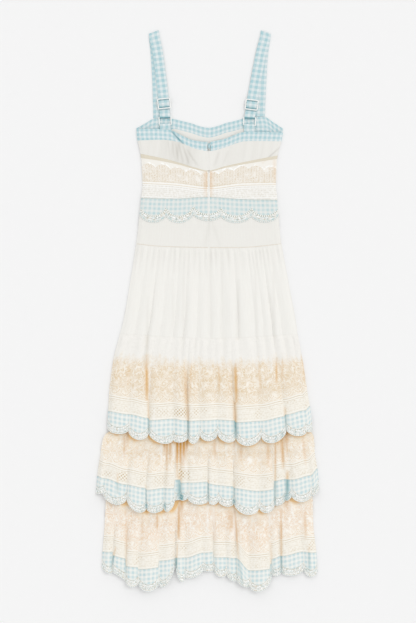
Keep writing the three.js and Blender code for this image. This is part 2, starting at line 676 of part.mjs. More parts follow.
function tier(number) {
  const { hem, sides, top, rest, swell, lift } = TIERS[number - 1];
  const left = through(sides, "drop", "left");
  const right = through(sides, "drop", "right");
  const restAt = eased(rest);
  const swellAt = eased(swell);
  const liftAt = eased(lift);
  const hemPlace = (share) => lerp(hem[0].x, hem.at(-1).x, share);
  const skirtPlace = (share) => lerp(SKIRT_FOLDS[0].x, SKIRT_FOLDS.at(-1).x, share);
  const seamDrop = (share, soften) => {
    const { row, next, t } = rowAt(hem, hemPlace(share));
    return soften ? lerp(row.seam + row.jump, next.seam, ease(t)) : lerp(row.seam, next.seam, t);
  };
  // A lower tier is sewn inside the one above, and on the front it lies on that tier down to its hem.
  const above = TIERS[number - 2];
  const clear = above ? Math.max(...above.hem.map((row) => row.tip)) + 2 : 0;
  const frontHeight = (drop) => (above ? LAYER * (1 - ease((drop - clear) / SETTLES)) : 0);
  const topDrop = (share) => top || seams.skirt(skirtPlace(share)) + SEAM / 2;
  const clothDrop = (share, v, end) => {
    if (!above) return lerp(topDrop(share), end, v);
    return v < HIDDEN ? lerp(top, clear, v / HIDDEN) : lerp(clear, end, (v - HIDDEN) / (1 - HIDDEN));
  };
  const parts = (soften, shorter) => ({
    cloth: (share, v) => clothDrop(share, v, seamDrop(share, soften) - INSERTION - SEAM / 2),
    insertion: (share, v) => seamDrop(share, soften) - lerp(INSERTION - SEAM / 2, SEAM / 2, v),
    border: (share, v) =>
      lerp(seamDrop(share, soften) + SEAM / 2, scalloped(hem, hemPlace(share)) - shorter, v),
  });
  const backHeight = (share, drop, x) => {
    const ownFolds = foldHeight(hem, hemPlace(share)) * swellAt(drop);
    const fading = above ? 0 : 1 - ease((drop - SKIRT_SEAM[0].drop) / TIER_TOP.skirtFoldsEnd);
    const fromSkirt = foldHeight(SKIRT_FOLDS, skirtPlace(share)) * fading;
    const fromTop = drop - topDrop(share);
    const gathers = ease(fromTop / TIER_TOP.gathersStart) * (1 - ease(fromTop / TIER_TOP.gathersEnd));
    const gathered = gatherHeight(hem, hemPlace(share)) * gathers * (above ? HIDDEN_GATHER : GATHER);
    const risen = restAt(drop) + ownFolds + fromSkirt + gathered;
    return frontHeight(drop) + LAYER + liftAt(drop) + risen * fromSides(x, left(drop), right(drop));
  };
  const scallopColumns = stopsIn(hem, [0, 0.12, 0.37, 0.63, 0.88], [0, 0.3, 0.7]);
  const hemColumns = stopsIn(hem, [0, 0.15, 0.5, 0.85], [0, 0.3, 0.7]);
  const foldColumns = stopsIn(hem, [0]);
  const finishes = { cloth: LACE, insertion: NET, border: GINGHAM };
  const clothRows = above ? [0, 0.7 * HIDDEN, HIDDEN, 0.75, 1] : evenly(4);
  for (const part of ["cloth", "insertion", "border"]) {
    const name = part === "cloth" ? `tier_${number}` : `tier_${number}_${part}`;
    const backDrop = parts(true, 0)[part];
    const rows = part === "cloth" ? clothRows : [0, 1];
    wall(`back_${name}`, finishes[part], scallopColumns, rows, (share, v) => {
      const drop = backDrop(share, v);
      const x = lerp(left(drop), right(drop), share);
      return { x, drop, z: backHeight(share, drop, x) };
    });
    const frontDrop = parts(false, FRONT_SHORTER)[part];
    const frontColumns = part === "border" ? hemColumns : foldColumns;
    wall(`front_${name}`, finishes[part], frontColumns, rows, (share, v) => {
      const drop = frontDrop(share, v);
      return { x: lerp(left(drop), right(drop), share), drop, z: frontHeight(drop) };
    });
  }
}

// ---- The straps and their hardware --------------------------------------------------------------
const radians = THREE.MathUtils.degToRad;

// A ribbon that follows a path of places, each with x, drop, the height of its middle and its slant.
function ribbon(name, material, path, thick) {
  const middle = path.map((p) => new THREE.Vector3(p.x, -p.drop, p.z));
  const side = (sign) =>
    path.map((p, i) => {
      const before = middle[Math.max(0, i - 1)];
      const after = middle[Math.min(path.length - 1, i + 1)];
      const across = new THREE.Vector3(Math.cos(radians(p.turn)), Math.sin(radians(p.turn)), 0);
      const out = after.clone().sub(before).cross(across).normalize();
      const centre = middle[i].clone().addScaledVector(out, (sign * thick) / 2);
      const place = (share) => centre.clone().addScaledVector(across, share * STRAP_WIDTH).toArray();
      return [-0.5, 0, 0.5].map(place);
    });
  add(name, shell(side(1), side(-1)), material);
}

// A place at a distance below a slider's or ring's middle, along its own slant.
const beside = ({ x, drop, turn }, along, z) => ({
  x: x + along * Math.sin(radians(turn)),
  drop: drop + along * Math.cos(radians(turn)),
  z,
  turn,
});

// A flat frame with rounded corners and two or three bars, centred on its own middle.
function frame({ width, length, bars, lift }, { x, drop, turn }) {
  const outline = (target, w, h, cx, cy, r) => {
    target.moveTo(cx - w / 2 + r, cy - h / 2);
    target.lineTo(cx + w / 2 - r, cy - h / 2);
    target.absarc(cx + w / 2 - r, cy - h / 2 + r, r, -Math.PI / 2, 0);
    target.absarc(cx + w / 2 - r, cy + h / 2 - r, r, 0, Math.PI / 2);
    target.absarc(cx - w / 2 + r, cy + h / 2 - r, r, Math.PI / 2, Math.PI);
    target.absarc(cx - w / 2 + r, cy - h / 2 + r, r, Math.PI, 1.5 * Math.PI);
    return target;
  };
  const shape = outline(new THREE.Shape(), width, length, 0, 0, FRAME_CORNER);
  const slots = bars - 1;
  const slotLength = (length - bars * WIRE) / slots;
  for (let k = 0; k < slots; k += 1) {
    const cy = (k - (slots - 1) / 2) * (slotLength + WIRE);
    shape.holes.push(outline(new THREE.Path(), width - 2 * WIRE, slotLength, 0, cy, SLOT_CORNER));
  }
  const depth = { depth: WIRE_THICK, bevelEnabled: false, curveSegments: 2 };
  const geometry = new THREE.ExtrudeGeometry(shape, depth);
  geometry.deleteAttribute("uv");
  geometry.deleteAttribute("normal");
  geometry.rotateZ(radians(turn));
  geometry.translate(x, -drop, lift);
  return mergeVertices(geometry, 1e-4);
}

function strap(side) {
  const { under, fold, over, slider, ring, tabEnd } = STRAPS[side];
  const low = STRAP_CLOTH / 2;
  const high = low + STRAP_CLOTH + FOLD_AIR;
  const bend = [-50, 0, 50].map((angle) => {
    const reach = ((high - low) / 2) * Math.cos(radians(angle));
    const rise = (high + low) / 2 + ((high - low) / 2) * Math.sin(radians(angle));
    return beside(fold, -reach, rise);
  });
  const path = [
    ...under.map((p) => ({ ...p, z: low })),
    beside(fold, 2, low),
    ...bend,
    beside(fold, 2, high),
    ...over.map((p) => ({ ...p, z: high })),
    ...ROUND_SLIDER.map(({ along, z }) => beside(slider, along, z)),
    ...ROUND_RING.map(({ along, z }) => beside(ring, along, z)),
    beside(slider, 14, low + LAYER),
    beside(slider, 1, low + LAYER),
  ];
  ribbon(`strap_${side}`, GINGHAM, path, STRAP_CLOTH);
  add(`strap_slider_${side}`, frame(SLIDER, slider), ENAMEL);
  add(`strap_ring_${side}`, frame(RING, ring), ENAMEL);
  const loop = TAB_ROUND_RING.map(({ along, z }) => beside(ring, along, z));
  const tab = [
    { ...tabEnd, z: TAB.over },
    { ...tabEnd, drop: TAB.parts, z: TAB.over },
    ...loop,
    { ...tabEnd, drop: TAB.parts, z: TAB.under },
    { ...tabEnd, z: TAB.under },
  ];
  ribbon(`strap_tab_${side}`, GINGHAM, tab, STRAP_CLOTH - TAB.thinner);
}

// ---- The zip ------------------------------------------------------------------------------------
// A closed three.js mesh as a solid that can be joined and cut.
function solidOf(geometry) {
  geometry.deleteAttribute("normal");
  geometry.deleteAttribute("uv");
  const { attributes, index } = mergeVertices(geometry, 1e-4);
  const vertProperties = new Float32Array(attributes.position.array);
  const triVerts = new Uint32Array(index.array);
  return new wasm.Manifold(new wasm.Mesh({ numProp: 3, vertProperties, triVerts }));
}

function meshOf(solid) {
  const { numProp, numVert, vertProperties, triVerts } = solid.getMesh();
  const points = new Float32Array(numVert * 3);
  for (let i = 0; i < numVert; i += 1) {
    points.set(vertProperties.subarray(i * numProp, i * numProp + 3), i * 3);
  }
  const geometry = new THREE.BufferGeometry();
  geometry.setAttribute("position", new THREE.BufferAttribute(points, 3));
  geometry.setIndex(new THREE.BufferAttribute(triVerts, 1));
  return geometry;
}

// A rod that lies across the zip, and a block, each centred on a place.
function rod(radius, long, x, y, z) {
  const geometry = new THREE.CylinderGeometry(radius, radius, long, 16);
  return solidOf(geometry.rotateZ(Math.PI / 2).translate(x, y, z));
}
const block = (w, l, h, x, y, z) => solidOf(new THREE.BoxGeometry(w, l, h).translate(x, y, z));

// The slider's plate: round at its nose and narrower at its tail.
function sliderPlate({ width, length, height, neck }, y, floor) {
  const noseY = y + length / 2 - width / 2;
  const shape = new THREE.Shape();
  shape.moveTo(-neck / 2, y - length / 2);
  shape.lineTo(neck / 2, y - length / 2);
  shape.lineTo(width / 2, noseY);
  shape.absarc(0, noseY, width / 2, 0, Math.PI);
  const depth = { depth: height, bevelEnabled: false, curveSegments: 8 };
  return solidOf(new THREE.ExtrudeGeometry(shape, depth).translate(0, 0, floor));
}

function zip() {
  const half = ZIP_HALF - SEAM;
  const chainRow = (rise) => CHAIN.map(({ drop, z }) => [-half, half].map((x) => [x, -drop, z + rise]));
  add("zip_chain", shell(chainRow(CHAIN_THICK), chainRow(0)), ZIP_WHITE);

  const { length, height, drop, lug } = ZIP_SLIDER;
  const floor = LAYER + BODY_PUFF;
  const lugX = (PULL.eyeWidth + lug) / 2 + SEAM;
  const pinY = -drop + length / 2 - PULL.eye - SEAM;
  const pinZ = floor + height + PULL.eye + SEAM;
  const foot = floor + height / 4;
  const posts = [-lugX, lugX].flatMap((x) => [
    rod(lug, lug, x, pinY, pinZ),
    block(lug, 2 * lug, pinZ - foot, x, pinY, (pinZ + foot) / 2),
  ]);
  const pin = rod(PULL.pin, 2 * lugX, 0, pinY, pinZ);
  const plate = sliderPlate(ZIP_SLIDER, -drop, floor);
  add("zip_slider", meshOf(wasm.Manifold.union([plate, ...posts, pin])), AQUA_ENAMEL);

  const { width, thick, eyeWidth, stem } = PULL;
  const tongueLength = PULL.length - PULL.eye - stem / 2;
  const tongueY = pinY - stem + SEAM - tongueLength / 2;
  const tongue = block(width, tongueLength, thick, 0, tongueY, pinZ);
  const neck = block(eyeWidth, stem, thick, 0, pinY - PULL.hole - stem / 2, pinZ);
  const eye = rod(PULL.eye, eyeWidth, 0, pinY, pinZ);
  const hole = rod(PULL.hole, 2 * eyeWidth, 0, pinY, pinZ);
  add("zip_pull", meshOf(wasm.Manifold.union([tongue, neck, eye]).subtract(hole)), AQUA_ENAMEL);
}

backOfBody();
frontOfBody();
skirt();
[1, 2, 3].forEach(tier);
["left", "right"].forEach(strap);
zip();

// The origin is at the middle of the underside.
const box = new THREE.Box3().setFromObject(dress);
const middle = box.getCenter(new THREE.Vector3());
for (const mesh of dress.children) mesh.geometry.translate(-middle.x, -middle.y, -box.min.z);

export default dress;
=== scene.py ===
import math

import bpy
import numpy as np
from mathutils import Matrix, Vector


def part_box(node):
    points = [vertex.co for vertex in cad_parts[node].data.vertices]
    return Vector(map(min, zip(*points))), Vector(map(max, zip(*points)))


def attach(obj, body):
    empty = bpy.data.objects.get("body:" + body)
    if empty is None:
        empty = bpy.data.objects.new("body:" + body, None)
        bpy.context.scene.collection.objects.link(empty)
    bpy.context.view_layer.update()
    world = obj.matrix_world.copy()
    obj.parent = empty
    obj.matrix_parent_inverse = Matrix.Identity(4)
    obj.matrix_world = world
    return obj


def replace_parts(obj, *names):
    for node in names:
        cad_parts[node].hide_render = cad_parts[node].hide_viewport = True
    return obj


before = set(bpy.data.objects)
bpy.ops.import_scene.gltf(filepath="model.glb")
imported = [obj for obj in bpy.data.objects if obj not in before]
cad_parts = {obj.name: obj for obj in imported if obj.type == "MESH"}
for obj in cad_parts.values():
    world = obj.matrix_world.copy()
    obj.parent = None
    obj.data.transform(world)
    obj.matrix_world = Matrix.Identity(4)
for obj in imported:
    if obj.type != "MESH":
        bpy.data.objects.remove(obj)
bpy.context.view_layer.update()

# ---- Driving dimensions --------------------------------------------------------------------------
CLOTH = 1.2  # one layer of cloth with its turnings
SEAM = 0.3  # what parts two pieces at a seam
LAYER = CLOTH + SEAM
SHELL = 1.0  # thickness of the modelled sheet, a little less than the solid's wall
BODY_PUFF = 3.2  # how far the back of the bodice and hips stands off the front
SIDE_ROLL = 9  # how far in from a side seam the back comes up to its own height
GATHER = 2.6  # height of the small gathers along a gathered seam
HIDDEN_GATHER = 1.4  # the same where a tier's top lies under the tier above
GATHERS_FADE = 110  # how far down a tier its gathers, and the skirt's folds above it, die away
INSERTION = 40  # depth of the ivory insertion above a border
FRONT_SHORTER = 4  # how far a front hem stops short of the back hem that lies over it
BAND = 23  # depth of the neck band on the front
BAND_WIDENS = 16  # how much deeper it is below the armholes
WIDENS_FROM = 82  # how far from the centre it starts to widen
WIDENS_OVER = 28  # and over how far it does
ZIP_HALF = 2  # half the width of the slit that the zip's chain lies in
BAND_GAP = 3.4  # half the width of the opening between the neck band's ends
SHUT = 0.05  # half the gap between the bodice's halves and the yoke's, which meet over the zip
COIL_HALF = 1.6  # half the gap that the midriff and its border leave for the zip's coil
CLIMB = {"from": 384, "over": 18}  # where the midriff climbs to the height of the border's top
SETTLES = 14  # how far past a hem the cloth takes to settle on what lies below
MIDRIFF = 350  # a drop where the body's sides are nearly upright
# The midriff lace's edging: how wide and deep its arches are, and how far out each side's first one starts.
EDGING = {"arch": 36, "deep": 9, "left": 20, "right": 24}
STRAP_WIDTH = 25
STRAP_STEP = 1.2  # how far apart the points of a strap lie along it
STRAP_ON_TOP = 3  # where the middle of a strap's cloth is higher than this, it is seen from above
SHADE_WIDTH = 1.3  # half the width of the thin shade where a strap comes out from under a bar
FOLD_AIR = 0.5  # air between a strap's two layers at the shoulder
TAB = {"parts": 238, "over": 3.65, "under": 2.1}  # where a tab's ends part, and their heights on the band
WIRE = 2.8  # width of the bars of the sliders' and rings' frames
WIRE_THICK = 2.4
SLIDER = {"width": 31.6, "length": 26, "lift": 4.5, "bars": 3}
RING = {"width": 31.6, "length": 22, "lift": 3, "bars": 2}
FRAME_CORNER = 2.2  # radius of their corners, along the middle of the bars
COIL_PITCH = 1.5  # from one loop of the zip's coil to the next
ZIP_SLIDER = {"width": 6, "length": 10, "height": 2.2, "drop": 275}
PULL = {"width": 4, "length": 13, "thick": 1, "eye": 1.5, "hole": 0.95, "pin": 0.6, "eye_width": 2}
STRAP_CHECK = 13  # one repeat of the gingham on the straps
BAND_CHECK = 11  # one repeat of the gingham on the bands and borders
EMBROIDERY = {"notch": 21, "tip": 16}  # how far inside a tier's notches and tips its embroidered arc lies
WAIST_EMBROIDERY = {"notch": 18, "tip": 15}
STEP = 2.4  # how far apart the points of a tier's back lie
FINE_STEP = 2.0  # the same on the skirt, the borders and what is sewn on them
FRONT_STEP = 5.0  # the same on a tier's front, which lies flat
FRONT_FINE_STEP = 3.0  # and on the borders there
TUCKED = 12  # how far above a hem the tier under it starts to have its rows close together


def table(columns, *rows):
    """A table with named columns, each one an array."""
    return dict(zip(columns.split(), np.array(rows, float).T))


# ---- Tables --------------------------------------------------------------------------------------
# Side edges of the body above the tiers, at each drop.
BODY_SIDES = table(
    "drop left right",
    (205, -170, 172),
    (233, -174, 178),
    (262, -172, 175),
    (300, -164, 165),
    (336, -161, 162),
    (372, -160, 161),
    (403, -163, 164),
    (442, -167, 167),
    (480, -171, 170),
    (512, -175, 174),
    (614, -191, 193),
    (694, -205, 208),
    (730, -214, 213),
)

# Seams and edges that run across the body: the drop of each at a few places across.
NECKLINE = table(
    "x drop",
    (-174, 236),
    (-122, 236),
    (-105, 237.3),
    (-91, 239.2),
    (-65, 252),
    (-41, 262.5),
    (0, 267.5),
    (22, 263.3),
    (41, 259),
    (74, 245.8),
    (96, 243),
    (178, 245),
)
BAND_SEAM = table(
    "x drop",
    (-172, 264),
    (-110, 262.3),
    (-89, 264.5),
    (-75, 267.5),
    (-62, 272.3),
    (-48, 278),
    (-34, 283.5),
    (0, 289.5),
    (31, 283),
    (62, 272),
    (84, 266),
    (175, 266),
)
TAPE_TOP = table(
    "x drop",
    (-164, 296),
    (-106, 308),
    (-70, 318),
    (-34, 329),
    (0, 336),
    (38, 326),
    (98, 313),
    (165, 300),
)
TAPE_BOTTOM = table(
    "x drop",
    (-164, 306),
    (-106, 315),
    (-70, 323),
    (-34, 333),
    (0, 339),
    (38, 330),
    (98, 319),
    (165, 308),
)
LACE_SEAM = table("x drop", (-160, 368), (-82, 372), (0, 381), (74, 373), (161, 371))
LACE_EDGING = table(
    "x drop",
    (-160, 319),
    (-112, 321),
    (-74, 329),
    (-38, 334),
    (0, 340),
    (42, 333),
    (78, 325),
    (113, 324),
    (144, 327),
    (161, 327),
)
WAIST_SEAM = table("x drop", (-163, 402), (-82, 404), (0, 400), (74, 405), (164, 407))
YOKE_SEAM = table("x drop", (-175, 512), (-118, 518), (0, 521), (98, 520), (174, 512))
SKIRT_SEAM = table("x drop", (-214, 728), (-60, 737), (60, 738), (213, 729))
FRONT_NECKLINE = table(
    "x drop",
    (-174, 234),
    (-154, 223),
    (-134, 212),
    (-89, 211.5),
    (-64, 217),
    (-40, 223.3),
    (-22, 229.5),
    (0, 233.3),
    (22, 228.6),
    (40, 222),
    (58, 218),
    (76, 212.8),
    (92, 209.5),
    (134, 207),
    (156, 221),
    (178, 235),
)

# One row for each scallop of the border at the waist: where its left end lies, the drop of the notch there
# and the drop of the tip that follows. The last row is the right end.
WAIST_SCALLOPS = table(
    "x notch tip",
    (-167, 440, 461),
    (-103, 443, 462),
    (-38, 440, 457),
    (29, 444, 462),
    (102, 444, 461),
    (167, 443, 443),
)

# One row for each fold of the skirt at its lower seam: where its left valley lies, how high the cloth
# stands there, how high it stands on the crest that follows, and how the crest leans (1 is even, less is a
# steep left side, more a steep right side).
SKIRT_FOLDS = table(
    "x dip crest lean",
    (-214, 0, 4, 1),
    (-180, 1, 5, 1),
    (-147, 0, 6, 0.7),
    (-118, 2, 5, 1),
    (-86, 1, 5, 1),
    (-61, 1, 7, 0.8),
    (-31, 2, 6, 1),
    (2, 2, 6, 1),
    (31, 1, 7, 1.2),
    (71, 0, 6, 0.7),
    (112, 1, 4, 1),
    (132, 2, 5, 1),
    (154, 0, 6, 0.8),
    (176, 1, 4, 1),
    (213, 0, 0, 1),
)

# The three tiers. lace is the finish of a tier's cloth. hem has one row for each scallop or fold: where its
# left end lies, the drops of the border's seam and of the notch there, the drop of the tip that follows, how
# high the cloth stands at the notch and on the crest that follows, how that crest leans, and how far the
# seam jumps down where this fold laps over the one to its left. sides are the side edges, and top is where a
# lower tier starts under the tier above. rest, swell and lift say how high the back rests on what lies under
# it, how far its folds have swelled and how far its hem lifts, from drop to drop.
TIERS = {
    1: {
        "lace": "first_tier_lace",
        "hem": table(
            "x seam notch tip dip crest lean jump",
            (-244, 914, 955, 968, 0, 6, 1, 0),
            (-193, 921, 960, 982, 3, 9, 1, 0),
            (-144, 930, 966, 990, 1, 10, 0.65, 5),
            (-86, 932, 982, 988, 5, 12, 1, 0),
            (-50, 936, 978, 991, 0, 9, 0.65, 1),
            (-22, 936, 970, 985, 4, 10, 1, 0),
            (20, 934, 968, 988, 4, 9, 1, 0),
            (64, 936, 977, 996, 0, 12, 0.65, 4),
            (124, 937, 973, 989, 4, 9, 1, 0),
            (185, 926, 958, 973, 1, 7, 0.8, -4),
            (233, 912, 962, 964, 3, 4, 1, 0),
            (248, 902, 959, 959, 0, 0, 1, 0),
        ),
        "sides": table(
            "drop left right",
            (728, -214, 213),
            (792, -230, 225),
            (871, -240, 237),
            (912, -242, 244),
            (970, -245, 250),
        ),
        "top": None,
        "rest": table("drop z", (728, 0), (880, 6), (1000, 6)),
        "swell": table("drop z", (728, 0), (780, 0.15), (870, 1), (1000, 1)),
        "lift": table("drop z", (890, 0), (950, 3.4)),
    },
    2: {
        "lace": "tier_lace",
        "hem": table(
            "x seam notch tip dip crest lean jump",
            (-271, 1070, 1116, 1112, 0, 4, 1, 0),
            (-253, 1075, 1112, 1137, 2, 8, 1, 0),
            (-197, 1090, 1124, 1154, 2, 11, 0.7, 0),
            (-150, 1098, 1146, 1157, 5, 12, 0.6, 4),
            (-108, 1098, 1145, 1152, 5, 13, 1, 0),
            (-82, 1098, 1128, 1127, 10, 5, 1, -20),
            (-68, 1078, 1127, 1128, 0, 3, 1, 8),
            (-51, 1085, 1123, 1137, 4, 10, 0.7, 0),
            (-2, 1083, 1129, 1138, 1, 8, 0.6, 4),
            (22, 1091, 1129, 1142, 5, 9, 1, 0),
            (60, 1094, 1135, 1161, 1, 14, 0.7, 4),
            (120, 1105, 1145, 1157, 5, 11, 1.3, 0),
            (157, 1101, 1139, 1138, 1, 6, 1, -20),
            (183, 1077, 1127, 1127, 0, 2, 1, 0),
            (198, 1078, 1117, 1131, 3, 9, 0.7, 0),
            (245, 1068, 1116, 1113, 2, 4, 1, 0),
            (265, 1052, 1100, 1100, 0, 0, 1, 0),
        ),
        "sides": table(
            "drop left right",
            (890, -228, 226),
            (955, -233, 238),
            (962, -237, 242),
            (971, -250, 250),
            (989, -257, 253),
            (1020, -261, 255),
            (1056, -267, 261),
            (1110, -272, 266),
        ),
        "top": 890,
        "rest": table("drop z", (890, 0), (998, 0), (1030, 6), (1160, 6)),
        "swell": table("drop z", (890, 0), (997, 0.04), (1050, 1), (1160, 1)),
        "lift": table("drop z", (890, 0), (1160, 0)),
    },
    3: {
        "lace": "last_tier_lace",
        "hem": table(
            "x seam notch tip dip crest lean jump",
            (-258, 1252, 1290, 1302, 0, 6, 1, 0),
            (-232, 1252, 1302, 1310, 0, 7, 0.7, 9),
            (-200, 1268, 1324, 1336, 3, 12, 0.8, 18),
            (-170, 1288, 1327, 1346, 6, 14, 1, 5),
            (-120, 1289, 1326, 1329, 6, 11, 1.2, -16),
            (-81, 1269, 1280, 1321, 0, 7, 0.7, -3),
            (-58, 1266, 1312, 1313, 3, 9, 1, 0),
            (-14, 1254, 1297, 1299, 5, 8, 1, 0),
            (12, 1252, 1298, 1312, 0, 8, 0.8, 13),
            (42, 1265, 1306, 1320, 4, 9, 1, 0),
            (66, 1267, 1320, 1334, 3, 12, 0.8, 0),
            (98, 1296, 1334, 1346, 7, 14, 1, 0),
            (148, 1293, 1320, 1315, 4, 4, 1, -12),
            (152, 1281, 1306, 1310, 3, 6, 1, -12),
            (174, 1262, 1301, 1309, 0, 8, 0.65, 0),
            (228, 1252, 1296, 1312, 1, 6, 1, 0),
            (261, 1254, 1300, 1300, 0, 0, 1, 0),
        ),
        "sides": table(
            "drop left right",
            (1034, -246, 240),
            (1121, -248, 249),
            (1190, -251, 251),
            (1253, -256, 258),
            (1300, -258, 261),
        ),
        "top": 1034,
        "rest": table("drop z", (1034, 0), (1350, 0)),
        "swell": table("drop z", (1034, 0), (1162, 0.04), (1215, 1), (1350, 1)),
        "lift": table("drop z", (1034, 0), (1350, 0)),
    },
}

# Creases laid as soft troughs: where each starts and ends, how wide it is, and how deep, where 1 is
# a plain crease.
# Each crease is painted as shade, and on the bodice, the hip yoke and the tiers it is also sunk into the
# cloth.
CREASES = table(
    "x drop to_x to_drop width deep",
    # the bodice: soft folds that run down and out from under the band, and its two side tucks
    (-98, 268, -95, 300, 2, 0.35),
    (-88, 270, -84, 305, 3, 0.35),
    (-80, 273, -74, 312, 3.5, 0.5),
    (-72, 275, -63, 315, 4, 0.5),
    (-63, 277, -49, 318, 4, 0.6),
    (-52, 287, -31, 321, 4, 0.5),
    (-42, 302, -26, 324, 3.5, 0.35),
    (24, 292, 12, 326, 5, 0.35),
    (46, 290, 34, 322, 5, 0.25),
    (170, 281, 128, 318, 3, 0.8),
    (157, 306, 158, 366, 7, 0.8),
    (-90, 242, -62, 272, 3.5, 0.9),
    # the hip yoke: two soft lines that part below the zip
    (4, 450, -10, 515, 7, 0.3),
    (6, 455, 26, 515, 7, 0.3),
    # the skirt
    (-147, 640, -150, 880, 6, 0.5),
    (-86, 600, -88, 730, 7, 0.3),
    (-61, 560, -62, 735, 7, 0.35),
    (2, 540, 2, 730, 8, 0.3),
    (31, 560, 30, 735, 7, 0.3),
    (71, 600, 68, 740, 7, 0.5),
    (112, 560, 114, 735, 6, 0.3),
    (154, 580, 158, 735, 6, 0.45),
    # the first tier
    (-192, 790, -194, 850, 5, 0.3),
    (-150, 780, -149, 885, 6, 1.0),
    (-146, 885, -144, 966, 4, 0.6),
    (-57, 820, -52, 935, 7, 0.45),
    (-42, 780, -45, 870, 4, 0.4),
    (-50, 900, -50, 975, 3.5, 0.7),
    (24, 806, 24, 864, 4, 0.5),
    (63, 800, 66, 892, 6, 1.0),
    (62, 892, 64, 975, 7, 0.9),
    (120, 796, 123, 871, 4, 0.4),
    (162, 786, 162, 845, 3.5, 0.9),
    (176, 776, 176, 840, 4, 0.45),
    (182, 905, 185, 955, 5, 0.6),
    (222, 760, 230, 840, 5, 0.4),
    # the second tier
    (-203, 965, -203, 1022, 6, 0.45),
    (-219, 1064, -219, 1110, 4, 0.5),
    (-152, 1090, -150, 1146, 3, 0.5),
    (-72, 1065, -70, 1140, 9, 0.8),
    (13, 970, 14, 1026, 6, 0.45),
    (-2, 1080, -1, 1130, 3, 0.7),
    (60, 1085, 60, 1135, 4, 0.4),
    (78, 990, 76, 1030, 7, 0.4),
    (142, 985, 142, 1045, 7, 0.45),
    (160, 975, 158, 1145, 3.5, 0.75),
    (176, 965, 178, 1050, 6, 0.8),
    (188, 1060, 188, 1120, 7, 1.0),
    (226, 975, 232, 1040, 6, 0.35),
    # the third tier
    (-224, 1240, -235, 1290, 3, 0.8),
    (-199, 1150, -199, 1300, 5, 0.35),
    (-160, 1150, -160, 1205, 5, 0.3),
    (-125, 1150, -124, 1205, 4, 0.6),
    (-72, 1140, -73, 1218, 5, 0.9),
    (-76, 1234, -77, 1262, 3, 0.6),
    (-78, 1262, -80, 1300, 4, 1.0),
    (13, 1145, 13, 1225, 4, 0.5),
    (50, 1150, 54, 1200, 13, 0.45),
    (61, 1150, 70, 1260, 4, 0.7),
    (70, 1260, 80, 1330, 4, 0.4),
    (149, 1230, 150, 1310, 5, 0.4),
    (173, 1150, 174, 1310, 4, 0.75),
    (230, 1150, 232, 1220, 5, 0.45),
    (240, 1240, 240, 1300, 4, 0.5),
)

# Folds that lie in the shade under a hem, laid in the same way but only on the tiers below a hem. Each is
# deepest where it starts and dies away to its end.
SHADES = table(
    "x drop to_x to_drop width deep",
    (-196, 955, -195, 1005, 5, 0.8),
    (-199, 962, -199, 1020, 3, 0.5),
    (-108, 976, -106, 1025, 5, 1.1),
    (-101, 976, -101, 1080, 4, 1.0),
    (-93, 976, -94, 1045, 5, 1.0),
    (-76, 972, -77, 1090, 4.5, 1.6),
    (-68, 972, -69, 1070, 5, 1.7),
    (-60, 972, -61, 1055, 5, 1.7),
    (-53, 972, -54, 1020, 5, 1.7),
    (24, 958, 24, 1010, 3, 0.5),
    (60, 966, 61, 1015, 4, 0.9),
    (122, 962, 122, 1000, 3, 0.7),
    (164, 956, 166, 1020, 3, 0.8),
    (172, 950, 173, 1040, 4, 0.9),
    (184, 945, 186, 1010, 12, 1.1),
    (187, 960, 188, 1040, 4, 0.9),
    (-66, 1118, -66, 1170, 8, 1.1),
    (-150, 1138, -149, 1165, 5, 0.9),
    (-106, 1138, -105, 1162, 5, 0.9),
    (60, 1128, 60, 1160, 6, 0.8),
    (186, 1118, 186, 1160, 12, 0.7),
)

# Soft ridges, raised a little on the tiers, each with a painted highlight along it, laid in the same way as
# the creases.
RIDGES = table(
    "x drop to_x to_drop width deep",
    (-142, 800, -142, 890, 3, 0.6),
    (-131, 900, -131, 965, 3, 0.5),
    (-115, 992, -114, 1034, 3, 0.9),
    (-86, 992, -85, 1030, 3, 0.8),
    (-62, 1022, -52, 1058, 5, 0.5),
    (-4, 1130, -3, 1215, 4, 0.6),
    (12, 1135, 13, 1222, 4, 0.7),
    (60, 1165, 62, 1222, 4, 0.7),
    (104, 1150, 104, 1190, 4, 0.4),
    (143, 1140, 146, 1195, 4, 0.6),
    (198, 1135, 203, 1180, 4, 0.7),
)

# Where the insertion opens into a lattice: the middle, half the width and half the height of each patch,
# and how plainly it shows.
LATTICES = table(
    "x drop wide high plain",
    (-113, 916, 18, 9, 0.4),
    (-67, 916, 19, 11, 1.0),
    (-31, 916, 7, 10, 0.6),
    (-242, 1064, 11, 6, 0.6),
    (-207, 1070, 12, 11, 0.9),
    (-115, 1074, 20, 17, 0.4),
    (-66, 1062, 8, 14, 1.3),
    (-49, 1066, 3, 12, 1.0),
    (75, 1078, 10, 17, 0.5),
    (145, 1076, 8, 10, 0.4),
)

# Where the zip's tapes show orange-beige through the open lace beside the coil.
ZIP_TAPES = table("x wide shown", (-10.5, 3.2, 0.55), (-6.4, 1.8, 0.9), (4.4, 2.6, 1.0), (9, 3, 0.35))

# The straps' middle lines from the front's neckline up to the fold at the shoulder and down again to the
# slider; turn is the slant of the strap's width, in degrees. The slider, the ring and the tab's end follow.
STRAPS = {
    "left": {
        "under": table("x drop turn", (-121, 209.7, 1), (-124, 105, 2), (-128, 50, 5), (-132, 14, 15)),
        "fold": (-132.5, 3.6, 20),
        "over": table("x drop turn", (-132, 14, 15), (-124, 45, 8), (-118, 90, 7), (-110.5, 150, 6)),
        "slider": (-108, 175, 6),
        "ring": (-105.5, 217, 2),
        "tab_end": (-105, 261, 0),
    },
    "right": {
        "under": table("x drop turn", (122, 205.5, -1), (126, 105, -2), (130, 50, -5), (136, 14, -15)),
        "fold": (137, 3.6, -20),
        "over": table("x drop turn", (136, 14, -15), (127, 45, -8), (118, 90, -8), (106.5, 152, -8)),
        "slider": (102.5, 178, -7),
        "ring": (97.5, 218, -3),
        "tab_end": (96.5, 261, 0),
    },
}

